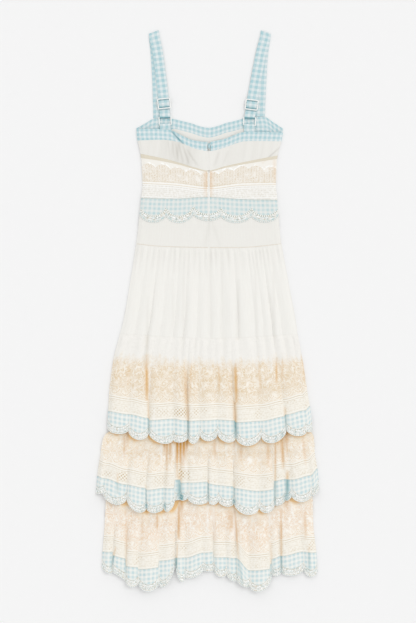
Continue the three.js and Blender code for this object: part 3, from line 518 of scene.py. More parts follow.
# How a strap runs round the bars of its slider and ring, and a tab round the ring's lower bar: along is how
# far below the slider's or ring's middle, z the height of the cloth's middle.
ROUND_SLIDER = table(
    "along z",
    (-11, 3.2),
    (-9.6, 3.5),
    (-2.4, 7.4),
    (-1.2, 7.95),
    (1.2, 7.95),
    (2.4, 7.4),
    (9.2, 3.6),
    (14, 3.6),
)
ROUND_RING = table("along z", (-12.2, 5.8), (-11, 6.4), (-8.4, 6.4), (-6.9, 5.6), (-6.9, 2.9), (-8.4, 2.1))
TAB_ROUND_RING = table("along z", (13.2, 5.8), (12, 6.4), (8.4, 6.4), (6.9, 5.6), (6.9, 2.9), (8.4, 2.1))

# The height of the underside of the zip's chain down its length.
CHAIN = table("drop z", (294, 3), (335, 3), (345, 4.7), (386, 4.7), (399, 7.7), (446, 7.7))

# ---- Where the dress lies in the frame -----------------------------------------------------------
chain_low, chain_high = (1000 * np.array(corner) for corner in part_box("zip_chain"))
CENTRE_BACK = (chain_low[0] + chain_high[0]) / 2
STRAP_TOP = chain_high[1] + CHAIN["drop"][0]


def in_metres(x, drop, z):
    """The points of the dress, in millimetres from its centre back and strap top, in the frame's metres."""
    x, drop, z = np.broadcast_arrays(x, drop, z)
    return np.stack([x + CENTRE_BACK, STRAP_TOP - drop, z], -1) / 1000


# ---- Small sums ----------------------------------------------------------------------------------
def mix(a, b, t):
    """a where t is 0, b where it is 1, and in proportion between."""
    return a + (b - a) * t


def ease(t):
    """Climbs from 0 to 1 with t, with a soft start and end, and stays level beyond."""
    c = np.clip(t, 0, 1)
    return c * c * (3 - 2 * c)


def through(rows, at, key):
    """A smooth curve through a table's rows: value key at each place at, held level past the ends."""
    places, values = rows[at], rows[key]
    before = np.maximum(np.arange(len(places)) - 1, 0)
    after = np.minimum(np.arange(len(places)) + 1, len(places) - 1)
    slope = (values[after] - values[before]) / (places[after] - places[before])

    def curve(place):
        place = np.clip(place, places[0], places[-1])
        i = np.clip(np.searchsorted(places, place, "right") - 1, 0, len(places) - 2)
        span = places[i + 1] - places[i]
        t = (place - places[i]) / span
        steady = values[i] * (1 + 2 * t) * (1 - t) ** 2 + values[i + 1] * t * t * (3 - 2 * t)
        return steady + span * t * (1 - t) * (slope[i] * (1 - t) - slope[i + 1] * t)

    return curve


def eased(rows):
    """A height down the cloth that eases from each row's to the next one's."""

    def height(drop):
        drop = np.clip(drop, rows["drop"][0], rows["drop"][-1])
        i = np.clip(np.searchsorted(rows["drop"], drop, "right") - 1, 0, len(rows["drop"]) - 2)
        span = rows["drop"][i + 1] - rows["drop"][i]
        return mix(rows["z"][i], rows["z"][i + 1], ease((drop - rows["drop"][i]) / span))

    return height


def row_at(rows, x):
    """Which row of a hem or fold table a place across lies in, and how far through it."""
    i = np.clip(np.searchsorted(rows["x"], x, "right") - 1, 0, len(rows["x"]) - 2)
    return i, np.clip((x - rows["x"][i]) / (rows["x"][i + 1] - rows["x"][i]), 0, 1)


def scalloped(rows, x, inside=None):
    """The drop of a scalloped edge, or of a line that lies inside it by so much at its notches and tips."""
    inside = inside or {"notch": 0, "tip": 0}
    i, t = row_at(rows, x)
    notch = rows["notch"] - inside["notch"]
    middle = (notch[i] + notch[i + 1]) / 2
    bulge = (1 - (2 * t - 1) ** 2) ** 0.6
    return mix(notch[i], notch[i + 1], t) + (rows["tip"][i] - inside["tip"] - middle) * bulge


def fold_height(rows, x):
    """The height of a run of folds: from one valley over a crest to the next."""
    i, t = row_at(rows, x)
    valley = mix(rows["dip"][i], rows["dip"][i + 1], t)
    return mix(valley, rows["crest"][i], np.sin(np.pi * t ** rows["lean"][i]))


def gather_height(rows, x):
    """Two small gathers to each fold."""
    return np.sin(2 * np.pi * row_at(rows, x)[1]) ** 2


def crumple(x, y, seed):
    """Smooth hills between 0 and 1, one to each unit of x and y, the same on every run."""

    def hill(i, j):
        return np.modf(np.abs(np.sin(i * 127.1 + j * 311.7 + seed * 74.7) * 4375.85))[0]

    i, j = np.floor(x), np.floor(y)
    s, t = ease(x - i), ease(y - j)
    return mix(mix(hill(i, j), hill(i + 1, j), s), mix(hill(i, j + 1), hill(i + 1, j + 1), s), t)


def traced(rows, x, drop, dies_away=False):
    """How far each place is under the sway of the listed creases or ridges. They fade towards both
    ends or, where they die away, from start to end."""
    most = np.zeros(np.broadcast(x, drop).shape)
    for start_x, start, end_x, end, width, deep in zip(*rows.values()):
        along_x, along = end_x - start_x, end - start
        t = ((x - start_x) * along_x + (drop - start) * along) / (along_x**2 + along**2)
        reached = np.clip(t, 0, 1)
        away = np.hypot(x - start_x - reached * along_x, drop - start - reached * along)
        at_both_ends = 0.35 + 0.65 * np.sin(np.pi * np.clip(0.1 + 0.8 * t, 0, 1))
        fading = 1 - reached if dies_away else at_both_ends
        most = np.maximum(most, deep * fading * np.exp(-((away / (0.6 * width)) ** 2)))
    return most


def patches(rows, x, drop):
    """How plainly each place shows a lattice."""
    most = np.zeros(np.broadcast(x, drop).shape)
    for middle, down, wide, high, plain in zip(*rows.values()):
        most = np.maximum(most, plain * np.exp(-(((x - middle) / wide) ** 4) - ((drop - down) / high) ** 4))
    return most


# ---- Materials -----------------------------------------------------------------------------------
def linear(colour):
    """An sRGB hex value as linear red, green, blue and alpha."""
    parts = [int(colour[i : i + 2], 16) / 255 for i in (1, 3, 5)]
    return [c / 12.92 if c <= 0.04045 else ((c + 0.055) / 1.055) ** 2.4 for c in parts] + [1.0]


def fill(tree, node, sockets):
    """Fills a node's numbered or named sockets, each with a number, a colour or another node's output."""
    for key, value in sockets.items():
        named = [s for s in node.inputs if s.enabled and s.name == key]
        socket = named[0] if named else node.inputs[key]
        if isinstance(value, bpy.types.Node):
            value = next(s for s in value.outputs if s.enabled)
        if isinstance(value, bpy.types.NodeSocket):
            tree.links.new(value, socket)
        else:
            socket.default_value = linear(value) if isinstance(value, str) else value


def add(tree, kind, sockets=None, **settings):
    """Adds a node with its settings, and fills its sockets."""
    made = tree.nodes.new("ShaderNode" + kind)
    for setting, value in settings.items():
        setattr(made, setting, value)
    fill(tree, made, sockets or {})
    return made


def finish(name, **sockets):
    """A material with its node tree and its shader, which has the given values on its sockets."""
    material = bpy.data.materials.new(name)
    material.use_nodes = True
    tree = material.node_tree
    tree.nodes.clear()
    shader = add(tree, "BsdfPrincipled", sockets)
    add(tree, "OutputMaterial", {"Surface": shader})
    return material, tree, shader


def all_of(tree, *patterns):
    """1 where every one of some patterns is 1."""
    both = patterns[0]
    for pattern in patterns[1:]:
        both = add(tree, "Math", {0: both, 1: pattern}, operation="MULTIPLY")
    return both


def any_of(tree, *patterns):
    """1 where at least one of some patterns is 1."""
    either = patterns[0]
    for pattern in patterns[1:]:
        either = add(tree, "Math", {0: either, 1: pattern}, operation="MAXIMUM")
    return either


def ramp(tree, value, low, high, top=1.0):
    """Climbs from 0, where a value is low, to top, where it is high."""
    ends = {"Value": value, "From Min": low, "From Max": high, "To Min": 0.0, "To Max": top}
    return add(tree, "MapRange", ends)


def layered(tree, ground, *layers):
    """A ground colour with others laid over it in turn, each where its own pattern is 1."""
    for pattern, colour in layers:
        ground = add(tree, "Mix", {"Factor": pattern, "A": ground, "B": colour}, data_type="RGBA")
    return ground


def in_cloth(tree):
    """Places in the cloth in millimetres: the place itself, u along the piece and v down from its top."""
    place = add(tree, "UVMap", uv_map="millimetres")
    split = add(tree, "SeparateXYZ", {0: place})
    return place, split.outputs[0], split.outputs[1]


def held(tree, name):
    """A value that the mesh holds at each of its points."""
    return add(tree, "Attribute", attribute_name=name).outputs["Fac"]


def bars(tree, along, repeat, softness=0.25, level=0.0):
    """Bars across a distance: 1 on a bar and 0 between two, with soft edges."""
    turns = add(tree, "Math", {0: along, 1: 2 * math.pi / repeat}, operation="MULTIPLY")
    wave = add(tree, "Math", {0: turns}, operation="SINE")
    return ramp(tree, wave, level - softness, level + softness)


def near(tree, value, at, half):
    """1 where a value in millimetres is within half of at, and 0 beyond."""
    away = add(tree, "Math", {0: value, 1: at}, operation="SUBTRACT")
    distance = add(tree, "Math", {0: away}, operation="ABSOLUTE")
    return ramp(tree, distance, half + 0.5, half - 0.5)


def flecks(tree, place, size, low, high, seed=0.0):
    """Soft irregular flecks of about that size, in millimetres: 1 on a fleck and 0 off it."""
    grain = {"Vector": place, "W": seed, "Scale": 1 / size, "Detail": 1.5}
    return ramp(tree, add(tree, "TexNoise", grain, noise_dimensions="4D").outputs[0], low, high)


def end_cloth(tree, shader, colour, deep, height, depth):
    """Ends a cloth's finish: its colour takes on deep as painted shade along creases and in shade, and as
    the tint of a zip's tape where one shows through; it takes a painted highlight along ridges; and its
    weave or its cords stand up where height is 1, by depth in millimetres."""
    # painted shade in the deep colour, which is also the tint of the zip's tapes, then a painted highlight
    colour_with_painted_light = layered(tree, colour, (held(tree, "painted_shade_and_tint"), deep), (held(tree, "painted_highlight"), "#fffdf9"))
    relief = add(tree, "Bump", {"Height": height, "Strength": 0.6, "Distance": depth / 1000})
    fill(tree, shader, {"Base Color": colour_with_painted_light, "Normal": relief})


def checks(tree, repeat):
    """The two patterns of a gingham: where at least one aqua stripe runs, and where two cross."""
    _, u, v = in_cloth(tree)
    down, over = bars(tree, u, repeat, 0.3, -0.1), bars(tree, v, repeat, 0.3, -0.1)
    return any_of(tree, down, over), all_of(tree, down, over)


def yarn_dyed_gingham(name, repeat):
    """Cotton gingham, woven from white and aqua yarns: pale where one aqua stripe runs, deeper where two
    cross. The yarns are 0.3 mm apart, too fine to show, so the weave is drawn 1.2 mm apart."""
    material, tree, shader = finish(name, Roughness=0.85)
    place, u, v = in_cloth(tree)
    single, double = checks(tree, repeat)
    faded = flecks(tree, place, 6, 0.4, 0.7, 4.0)
    colour = layered(tree, "#e8eeef", (single, "#cde1e4"), (double, "#aed3da"))
    colour = layered(tree, colour, (all_of(tree, faded, 0.4), "#dbe7e9"))
    woven = all_of(tree, bars(tree, u, 1.2), bars(tree, v, 1.2))
    # painted shade along creases and where a strap comes out from under a bar, in #4f8f9b
    end_cloth(tree, shader, colour, "#4f8f9b", woven, 0.2)
    return material


def embroidered_gingham(name, white, pale, aqua, band, speck, dark):
    """Paler gingham whose scallops are embroidered in white satin stitch with grey-green and beige flecks.
    The stitches cover a band of that width outside the inner arc, with a line along the arc and a dotted
    line just inside the edge. They are 0.5 mm wide, too fine to show, so their flecks are drawn speck
    millimetres wide."""
    material, tree, shader = finish(name, Roughness=0.85)
    place, _, _ = in_cloth(tree)
    outside, inside = held(tree, "outside"), held(tree, "inside")
    single, double = checks(tree, BAND_CHECK)
    faded = all_of(tree, flecks(tree, place, 8, 0.4, 0.7, 12.0), 0.45)
    gingham = layered(tree, white, (single, pale), (double, aqua), (faded, white))
    stitched = all_of(tree, ramp(tree, outside, -1.6, -0.4), ramp(tree, outside, band + 1, band - 1))
    aqua_thread = all_of(tree, stitched, flecks(tree, place, 2 * speck, 0.48, 0.6, 4.0), 0.5)
    green = all_of(tree, stitched, flecks(tree, place, speck, 0.52, 0.62, 1.0), 0.75)
    beige = all_of(tree, stitched, flecks(tree, place, speck, 0.54, 0.64, 6.0), 0.7)
    bright = all_of(tree, stitched, flecks(tree, place, speck, 0.53, 0.61, 14.0))
    dots = flecks(tree, place, 3.0, 0.3, 0.46, 9.0)
    first = all_of(tree, near(tree, outside, 0.2, 0.7), 0.55)
    second = all_of(tree, near(tree, outside, 7.0, 0.6), dots, 0.6)
    edge = all_of(tree, near(tree, inside, 2.6, 0.5), dots, 0.6)
    colour = layered(tree, gingham, (all_of(tree, stitched, 0.9), "#f5f4ef"), (aqua_thread, "#d6e5e7"))
    colour = layered(tree, colour, (green, dark), (beige, "#d6c9b3"), (bright, "#ffffff"))
    colour = layered(tree, colour, (second, "#b4b7ab"), (edge, "#bdb39b"), (first, "#a8a58f"))
    # painted shade along creases and under a hem, in #66a0a6
    end_cloth(tree, shader, colour, "#66a0a6", stitched, 0.3)
    return material


def cotton_voile(name):
    """Plain off-white cotton voile, soft and matt, with faint slubs that run down the cloth."""
    material, tree, shader = finish(name, Roughness=0.9)
    place, _, _ = in_cloth(tree)
    drawn_out = add(tree, "Mapping", {"Vector": place, "Scale": (1.0, 0.06, 1.0)})
    slubs = flecks(tree, drawn_out, 2.2, 0.3, 0.7)
    # painted shade over the bodice and the yoke and along creases, in #c6c3bb
    end_cloth(tree, shader, layered(tree, "#f4f3ee", (slubs, "#f1efea")), "#c6c3bb", slubs, 0.12)
    return material


def flower(tree, place, across, down, petals, size):
    """A sprig in each cell of a brick layout: 1 on its petals and on the ring round them, 0 off them."""
    split = add(tree, "SeparateXYZ", {0: place})
    row = add(tree, "Math", {0: split.outputs[1], 1: down}, operation="DIVIDE")
    whole_row = add(tree, "Math", {0: row}, operation="FLOOR")
    shift = add(tree, "Math", {0: whole_row, 1: 0.5}, operation="MULTIPLY")
    column = add(tree, "Math", {0: split.outputs[0], 1: 1 / across, 2: shift}, operation="MULTIPLY_ADD")
    cell = []
    for share, length in ((column, across), (row, down)):
        inside = add(tree, "Math", {0: share}, operation="FRACT")
        from_middle = add(tree, "Math", {0: inside, 1: 0.5}, operation="SUBTRACT")
        cell.append(add(tree, "Math", {0: from_middle, 1: length}, operation="MULTIPLY"))
    middle = add(tree, "CombineXYZ", {0: cell[0], 1: cell[1]})
    radius = add(tree, "VectorMath", {0: middle}, operation="LENGTH").outputs["Value"]
    angle = add(tree, "Math", {0: cell[1], 1: cell[0]}, operation="ARCTAN2")
    turned = add(tree, "Math", {0: angle, 1: petals / 2}, operation="MULTIPLY")
    lobe = add(tree, "Math", {0: add(tree, "Math", {0: turned}, operation="COSINE")}, operation="ABSOLUTE")
    edge = add(tree, "Math", {0: lobe, 1: 0.5 * size, 2: 0.45 * size}, operation="MULTIPLY_ADD")
    inward = add(tree, "Math", {0: edge, 1: radius}, operation="SUBTRACT")
    return any_of(tree, ramp(tree, inward, -0.7, 0.7), near(tree, radius, 1.5 * size, 0.6))


def curls(tree, place, size, seed):
    """Thin curling lines, like cord laid in rings and tendrils: 1 on a line and 0 off it."""
    hills = add(tree, "TexNoise", {"Vector": place, "W": seed, "Scale": 1 / size}, noise_dimensions="4D")
    climbed = add(tree, "Math", {0: hills.outputs[0], 1: 11.0}, operation="MULTIPLY")
    step = add(tree, "Math", {0: climbed}, operation="FRACT")
    from_line = add(tree, "Math", {0: step, 1: 0.5}, operation="SUBTRACT")
    return ramp(tree, add(tree, "Math", {0: from_line}, operation="ABSOLUTE"), 0.26, 0.1)


def arches(tree, u, width, low, high):
    """The height of a row of round arches: low in the middle of each, high where two of them meet."""
    turned = add(tree, "Math", {0: u, 1: math.pi / width}, operation="MULTIPLY")
    wave = add(tree, "Math", {0: add(tree, "Math", {0: turned}, operation="SINE")}, operation="ABSOLUTE")
    return add(tree, "Math", {0: wave, 1: low - high, 2: high}, operation="MULTIPLY_ADD")


def corded_lace(tree, ground, hole, cord):
    """Floral lace on a beige net: its colour, and where its cords stand up. Sprigs in rings lie about 26 mm
    apart among small curling tendrils, with faint streaks of painted shade down it for its gathers. The
    net's holes are 1 mm wide, too fine to show, so they are drawn 3.4 mm wide."""
    place, _, _ = in_cloth(tree)
    wavy = add(tree, "TexNoise", {"Vector": place, "Scale": 0.05, "Detail": 1.0})
    bend = add(tree, "VectorMath", {0: wavy.outputs["Color"], 1: (36, 36, 0)}, operation="MULTIPLY")
    bent = add(tree, "VectorMath", {0: place, 1: bend}, operation="ADD")
    net = add(tree, "TexVoronoi", {"Vector": place, "Scale": 1 / 3.4}, feature="DISTANCE_TO_EDGE")
    holes = all_of(tree, ramp(tree, net, 0.1, 0.3), flecks(tree, place, 12, 0.4, 0.62, 5.0), 0.6)
    mottled = all_of(tree, flecks(tree, place, 9, 0.4, 0.66, 11.0), 0.6)
    sprigs = all_of(tree, flower(tree, bent, 26, 29, 5, 5.4), flecks(tree, place, 30, 0.34, 0.48, 3.0))
    cords = any_of(tree, sprigs, all_of(tree, curls(tree, place, 20, 2.0), 0.85))
    drawn_out = add(tree, "Mapping", {"Vector": place, "Scale": (1.0, 0.05, 1.0)})
    # faint streaks of painted shade that run down the lace
    streaks = all_of(tree, flecks(tree, drawn_out, 6.5, 0.42, 0.75, 8.0), 0.25)
    return layered(tree, ground, (mottled, hole), (holes, hole), (cords, cord), (streaks, hole)), cords


def lace_foot(tree, colour, cord, shade):
    """The lace's foot: corded arches 26 mm wide, with a line of beige dots and one of white puffs above."""
    _, u, _ = in_cloth(tree)
    rise = add(tree, "Math", {0: held(tree, "above"), 1: arches(tree, u, 26, 2, 13)}, operation="SUBTRACT")
    dots = all_of(tree, near(tree, rise, 2.6, 0.7), bars(tree, u, 3.6), 0.8)
    puffs = all_of(tree, near(tree, rise, 6.0, 1.6), bars(tree, u, 5.2, 0.4, 0.1), 0.7)
    arch = all_of(tree, near(tree, rise, 0.0, 1.0), 0.7)
    return layered(tree, colour, (arch, cord), (dots, shade), (puffs, cord))


def tier_lace(name, ground, hole):
    """Cotton lace of a lower tier: just under the hem above it has painted light, and nearest that hem a
    painted orange shade, where little light reaches it; it grows creamier towards the insertion, where its
    cords lie closer."""
    material, tree, shader = finish(name, Roughness=0.9)
    colour, cords = corded_lace(tree, ground, hole, "#fefaf2")
    under, above = held(tree, "under"), held(tree, "above")
    creamier = ramp(tree, above, 34, 4, 0.5)
    # painted light under the hem above, then a painted orange shade nearest it
    paler, orange = ramp(tree, under, 0.05, 0.6, 0.7), ramp(tree, under, 0.55, 0.95, 0.8)
    colour = layered(tree, colour, (creamier, "#f6efe2"), (paler, "#fff3df"), (orange, "#ffcf88"))
    end_cloth(tree, shader, lace_foot(tree, colour, "#fffcf5", "#dfc49b"), "#d8a050", cords, 0.5)
    return material


def first_tier_lace(name, starts):
    """The first tier's cloth: off-white voile above, and below it corded lace that starts in ragged tongues
    about starts millimetres down."""
    material, tree, shader = finish(name, Roughness=0.9)
    place, _, v = in_cloth(tree)
    colour, cords = corded_lace(tree, "#efe1cd", "#dfc8a2", "#faf4e9")
    drawn_out = add(tree, "Mapping", {"Vector": place, "Scale": (1.0, 0.3, 1.0)})
    tongues = add(tree, "TexNoise", {"Vector": drawn_out, "Scale": 0.11, "Detail": 4.0})
    reach = add(tree, "Math", {0: tongues.outputs[0], 1: -60.0, 2: starts + 30}, operation="MULTIPLY_ADD")
    past = add(tree, "Math", {0: v, 1: reach}, operation="SUBTRACT")
    laced = ramp(tree, past, -12.0, 16.0)
    creamier = ramp(tree, held(tree, "above"), 30, 4, 0.5)
    colour = lace_foot(tree, layered(tree, colour, (creamier, "#f4ede0")), "#fffaf0", "#dbbd8f")
    # the painted shade along creases: grey in the voile, orange in the lace
    deep = layered(tree, "#dfd8cb", (laced, "#dcaa5e"))
    end_cloth(tree, shader, layered(tree, "#f4f2ed", (laced, colour)), deep, cords, 0.4)
    return material


def midriff_lace(name):
    """The midriff's lace: a white scalloped edging along its top, cream sprigs among ribs 6.4 mm apart on a
    paler beige net, and along its foot a white cord between two beige lines."""
    material, tree, shader = finish(name, Roughness=0.9)
    place, u, _ = in_cloth(tree)
    colour, cords = corded_lace(tree, "#ece3d5", "#dfd1b9", "#f9f6f0")
    below, above = held(tree, "below_edging"), held(tree, "above")
    white = ramp(tree, below, 1.2, -1.2)
    puffs = all_of(tree, near(tree, below, -1.6, 2.4), flecks(tree, place, 7.0, 0.46, 0.56, 3.0))
    foot = near(tree, above, 3.4, 1.8)
    beside = any_of(tree, near(tree, above, 0.4, 0.9), near(tree, above, 7.0, 0.7))
    ribs = all_of(tree, bars(tree, u, 6.4, 0.8, 0.3), 0.7)
    colour = layered(tree, colour, (ribs, "#f5efe5"), (white, "#f5f2eb"), (puffs, "#fffffc"))
    colour = layered(tree, colour, (foot, "#fcfaf5"), (all_of(tree, beside, 0.7), "#dfd4be"))
    # the zip's tapes seen through the lace, and painted shade along creases, in #dcb07a
    end_cloth(tree, shader, colour, "#dcb07a", any_of(tree, cords, white), 0.4)
    return material


def insertion_lace(name, depth, ground, cord, hole, lines):
    """Cotton insertion lace: a fine band with two cords along its top, one along its foot, faint rows of
    stitches between them and patches of an open lattice. Its holes are 1.5 mm wide and are drawn 3 mm
    wide, so that they show. depth is how far it is from edge to edge, and lines how plain the lines are
    that lie beside its cords."""
    material, tree, shader = finish(name, Roughness=0.9)
    place, _, v = in_cloth(tree)
    turned = add(tree, "Mapping", {"Vector": place, "Rotation": (0, 0, math.radians(45))})
    across = add(tree, "SeparateXYZ", {0: turned})
    patchy = all_of(tree, flecks(tree, place, 26, 0.52, 0.64, 2.0), 0.45)
    open_here = any_of(tree, patchy, held(tree, "lattice"))
    inner = all_of(tree, ramp(tree, v, 9.0, 10.0), ramp(tree, v, depth - 5, depth - 6))
    lattice = [bars(tree, across.outputs[i], 6.0, 0.5, 0.0) for i in (0, 1)]
    holes = all_of(tree, *lattice, open_here, inner)
    rows = all_of(tree, bars(tree, v, 4.8, 0.6, 0.3), inner, 0.5)
    cords = any_of(tree, near(tree, v, 1.4, 1.1), near(tree, v, 6.6, 1.1), near(tree, v, depth - 2.5, 1.1))
    hollows = any_of(tree, near(tree, v, 4.0, 0.9), near(tree, v, 9.0, 0.6))
    uneven = flecks(tree, place, 5.0, 0.42, 0.62, 5.0)
    colour = layered(tree, ground, (all_of(tree, uneven, 0.7), cord), (rows, cord))
    colour = layered(tree, colour, (all_of(tree, hollows, lines), hole), (holes, hole), (cords, cord))
    # painted shade along creases and under a hem, and the zip's tapes seen through, in #dfbb8c
    end_cloth(tree, shader, colour, "#dfbb8c", cords, 0.2)
    return material


def cotton_tape(name):
    """Plain-woven beige cotton tape, matt, with its ribs 1 mm apart, drawn 1.6 mm apart to show."""
    material, tree, shader = finish(name, Roughness=0.88)
    _, u, _ = in_cloth(tree)
    ribs = bars(tree, u, 1.6)
    end_cloth(tree, shader, layered(tree, "#e8e1d1", (ribs, "#ded5c1")), "#cdbf9f", ribs, 0.15)
    return material


def cotton_thread(name, colour, gap_colour, stitch):
    """Mercerised cotton thread, with a slight sheen: one stitch after another, with gaps between them."""
    material, tree, shader = finish(name, Roughness=0.6)
    _, u, _ = in_cloth(tree)
    stitches = bars(tree, u, stitch, 0.3, -0.3)
    end_cloth(tree, shader, layered(tree, gap_colour, (stitches, colour)), gap_colour, stitches, 0.2)
    return material


def stove_enamel(name, colour, pooled_colour):
    """Enamel baked on zinc: smooth and glossy, with the slight pooling of a dipped coat."""
    material, tree, shader = finish(name, Roughness=0.22, IOR=1.52)
    place = add(tree, "TexCoord").outputs["Object"]
    pooled = add(tree, "TexNoise", {"Vector": place, "Scale": 220.0, "Detail": 1.0}).outputs[0]
    relief = add(tree, "Bump", {"Height": pooled, "Strength": 0.6, "Distance": 0.00006})
    fill(tree, shader, {"Base Color": layered(tree, colour, (pooled, pooled_colour)), "Normal": relief})
    return material


def nylon_coil(name):
    """White nylon coil of the zip: slightly waxy, with bands of painted shade that make it a little greyer
    between the turns.
    """
    material, tree, shader = finish(name, Roughness=0.4, IOR=1.53)
    _, _, v = in_cloth(tree)
    fill(tree, shader, {"Base Color": layered(tree, "#f3f2ee", (bars(tree, v, COIL_PITCH), "#fdfdfa"))})
    return material


def studio_paper(name):
    """Pale matt paper under the dress, with hardly any grain."""
    material, tree, shader = finish(name, Roughness=1.0)
    place = add(tree, "TexCoord").outputs["Object"]
    grain = add(tree, "TexNoise", {"Vector": place, "Scale": 40.0, "Detail": 2.0}).outputs[0]
    fill(tree, shader, {"Base Color": layered(tree, "#f6f6f6", (grain, "#f5f5f5"))})
    return material


FINISHES = {
    "strap_gingham": yarn_dyed_gingham("strap_gingham", STRAP_CHECK),
    "band_gingham": yarn_dyed_gingham("band_gingham", BAND_CHECK),
    "tier_gingham": embroidered_gingham(
        "tier_gingham", "#f2f3ee", "#e2e9e7", "#c6dcdf", band=40, speck=3.6, dark="#b0c1bb"
    ),
    "waist_gingham": embroidered_gingham(
        "waist_gingham", "#e9eae6", "#dae4e3", "#c3d9db", band=9.5, speck=4.8, dark="#9fb1ad"
    ),
    "voile": cotton_voile("cotton_voile"),
    "midriff_lace": midriff_lace("midriff_lace"),
    "first_tier_lace": first_tier_lace("first_tier_lace", 60),
    "tier_lace": tier_lace("tier_lace", "#f5e9d8", "#e9d1ad"),
    "last_tier_lace": tier_lace("last_tier_lace", "#f6e8d8", "#ebd0b0"),
    "insertion": insertion_lace("ivory_insertion", INSERTION, "#eee8db", "#fbf8f0", "#c2a672", lines=0.35),
    "midriff_insertion": insertion_lace("white_insertion", 33, "#e9e6de", "#fbfaf7", "#d9d3c5", lines=0.1),
    "tape": cotton_tape("beige_tape"),
    "white_thread": cotton_thread("white_thread", "#fbfbf8", "#cbdcdd", 4.8),
    "rope_thread": cotton_thread("rope_thread", "#fcfbf6", "#b9beb0", 5.0),
    "grey_thread": cotton_thread("grey_thread", "#c4cdc8", "#dfe4df", 3.0),
    "beige_thread": cotton_thread("beige_thread", "#e6dccd", "#f0ebe2", 3.0),
    "enamel": stove_enamel("white_enamel", "#fdfdfb", "#f4f4f1"),
    "aqua_enamel": stove_enamel("aqua_enamel", "#bcd9de", "#b2d2d9"),
    "coil": nylon_coil("nylon_coil"),
}


# ---- Making pieces -------------------------------------------------------------------------------
def piece(name, points, faces, finish_name, body="dress", uv=None):
    """A smooth mesh that rides on a body, from points in metres, with its places in the cloth."""
    mesh = bpy.data.meshes.new(name)
    mesh.from_pydata(points.reshape(-1, 3).tolist(), [], faces)
    mesh.shade_smooth()
    if uv is not None:
        corners = np.zeros(len(mesh.loops), dtype=np.int32)
        mesh.loops.foreach_get("vertex_index", corners)
        layer = mesh.uv_layers.new(name="millimetres")
        layer.data.foreach_set("uv", uv.reshape(-1, 2)[corners].ravel().astype(np.float32))
    mesh.materials.append(FINISHES[finish_name])
    made = bpy.data.objects.new(name, mesh)
    bpy.context.collection.objects.link(made)
    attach(made, body)
    return made


def mark(made, marks, shape):
    """Keeps values at each point of a piece, under their names, for its material."""
    for name, values in marks.items():
        attribute = made.data.attributes.new(name, "FLOAT", "POINT")
        attribute.data.foreach_set("value", np.broadcast_to(values, shape).ravel().astype(np.float32))


def thicken(made):
    """Gives a sheet its thickness, downwards from its upper side, with a crisp edge all round."""
    mesh = made.data
    used = np.zeros(len(mesh.loops), dtype=np.int32)
    mesh.loops.foreach_get("edge_index", used)
    crisp = mesh.attributes.new("sharp_edge", "BOOLEAN", "EDGE")
    crisp.data.foreach_set("value", np.bincount(used, minlength=len(mesh.edges)) == 1)
    thickness = made.modifiers.new("thickness", "SOLIDIFY")
    thickness.thickness = SHELL / 1000
    thickness.offset = -1


def grid_faces(rows, columns):
    """The faces of a grid of points whose rows run down the dress, seen from above."""
    j, i = np.meshgrid(np.arange(rows - 1), np.arange(columns - 1), indexing="ij")
    corner = (j * columns + i).ravel()
    return np.stack([corner, corner + columns, corner + columns + 1, corner + 1], -1).tolist()


def lengths(points, axis):
    """How far each point of a grid is from the grid's edge, measured along the cloth, in millimetres."""
    steps = 1000 * np.linalg.norm(np.diff(points, axis=axis), axis=-1)
    return np.insert(np.cumsum(steps, axis), 0, 0, axis)


def cloth(name, finish_name, x, drop, z, marks=None):
    """A sheet of cloth that replaces the CAD node of its name. z is the height of its upper side, and marks
    are values at its points for its material."""
    points = in_metres(x, drop, z)
    rows, columns = points.shape[:2]
    over, down = lengths(points, 1), lengths(points, 0)
    places = np.stack(np.broadcast_arrays(over[rows // 2], down), -1)
    made = piece(name + "_cloth", points, grid_faces(rows, columns), finish_name, uv=places)
    mark(made, marks or {}, (rows, columns))
    thicken(made)
    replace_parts(made, name)


def tubes(name, finish_name, paths, radius, sides=6, body="dress", flat=1.0):
    """Threads, cords or wires as one mesh: a round tube along each path of points in millimetres, with its
    height that many times its width."""
    points, faces, places, first = [], [], [], 0
    for path in paths:
        closed = np.allclose(path[0], path[-1])
        ahead = np.gradient(path, axis=0)
        if closed:
            ahead[0] = ahead[-1] = path[1] - path[-2]
        ahead /= np.linalg.norm(ahead, axis=1, keepdims=True)
        side = np.cross(ahead, [0, 0, 1])
        side /= np.linalg.norm(side, axis=1, keepdims=True) + 1e-9
        up = np.cross(side, ahead)
        turn = np.linspace(0, 2 * np.pi, sides, endpoint=False)
        ring = side[:, None] * np.cos(turn)[:, None] + up[:, None] * flat * np.sin(turn)[:, None]
        points.append((path[:, None] + radius * ring) / 1000)
        along = np.insert(np.cumsum(np.linalg.norm(np.diff(path, axis=0), axis=1)), 0, 0)
        places.append(np.stack(np.broadcast_arrays(along[:, None], turn), -1))
        for k in range(len(path) - 1):
            for s in range(sides):
                a, b = first + k * sides + s, first + k * sides + (s + 1) % sides
                faces.append((a, a + sides, b + sides, b))
        if not closed:
            faces.append(tuple(first + s for s in range(sides)))
            faces.append(tuple(first + (len(path) - 1) * sides + s for s in reversed(range(sides))))
        first += len(path) * sides
    points = np.concatenate([p.reshape(-1, 3) for p in points])
    places = np.concatenate([p.reshape(-1, 2) for p in places])
    return piece(name, points, faces, finish_name, body, places)


def in_frame(x, drop, z):
    """Points in millimetres in the frame."""
    return 1000 * in_metres(x, drop, z)


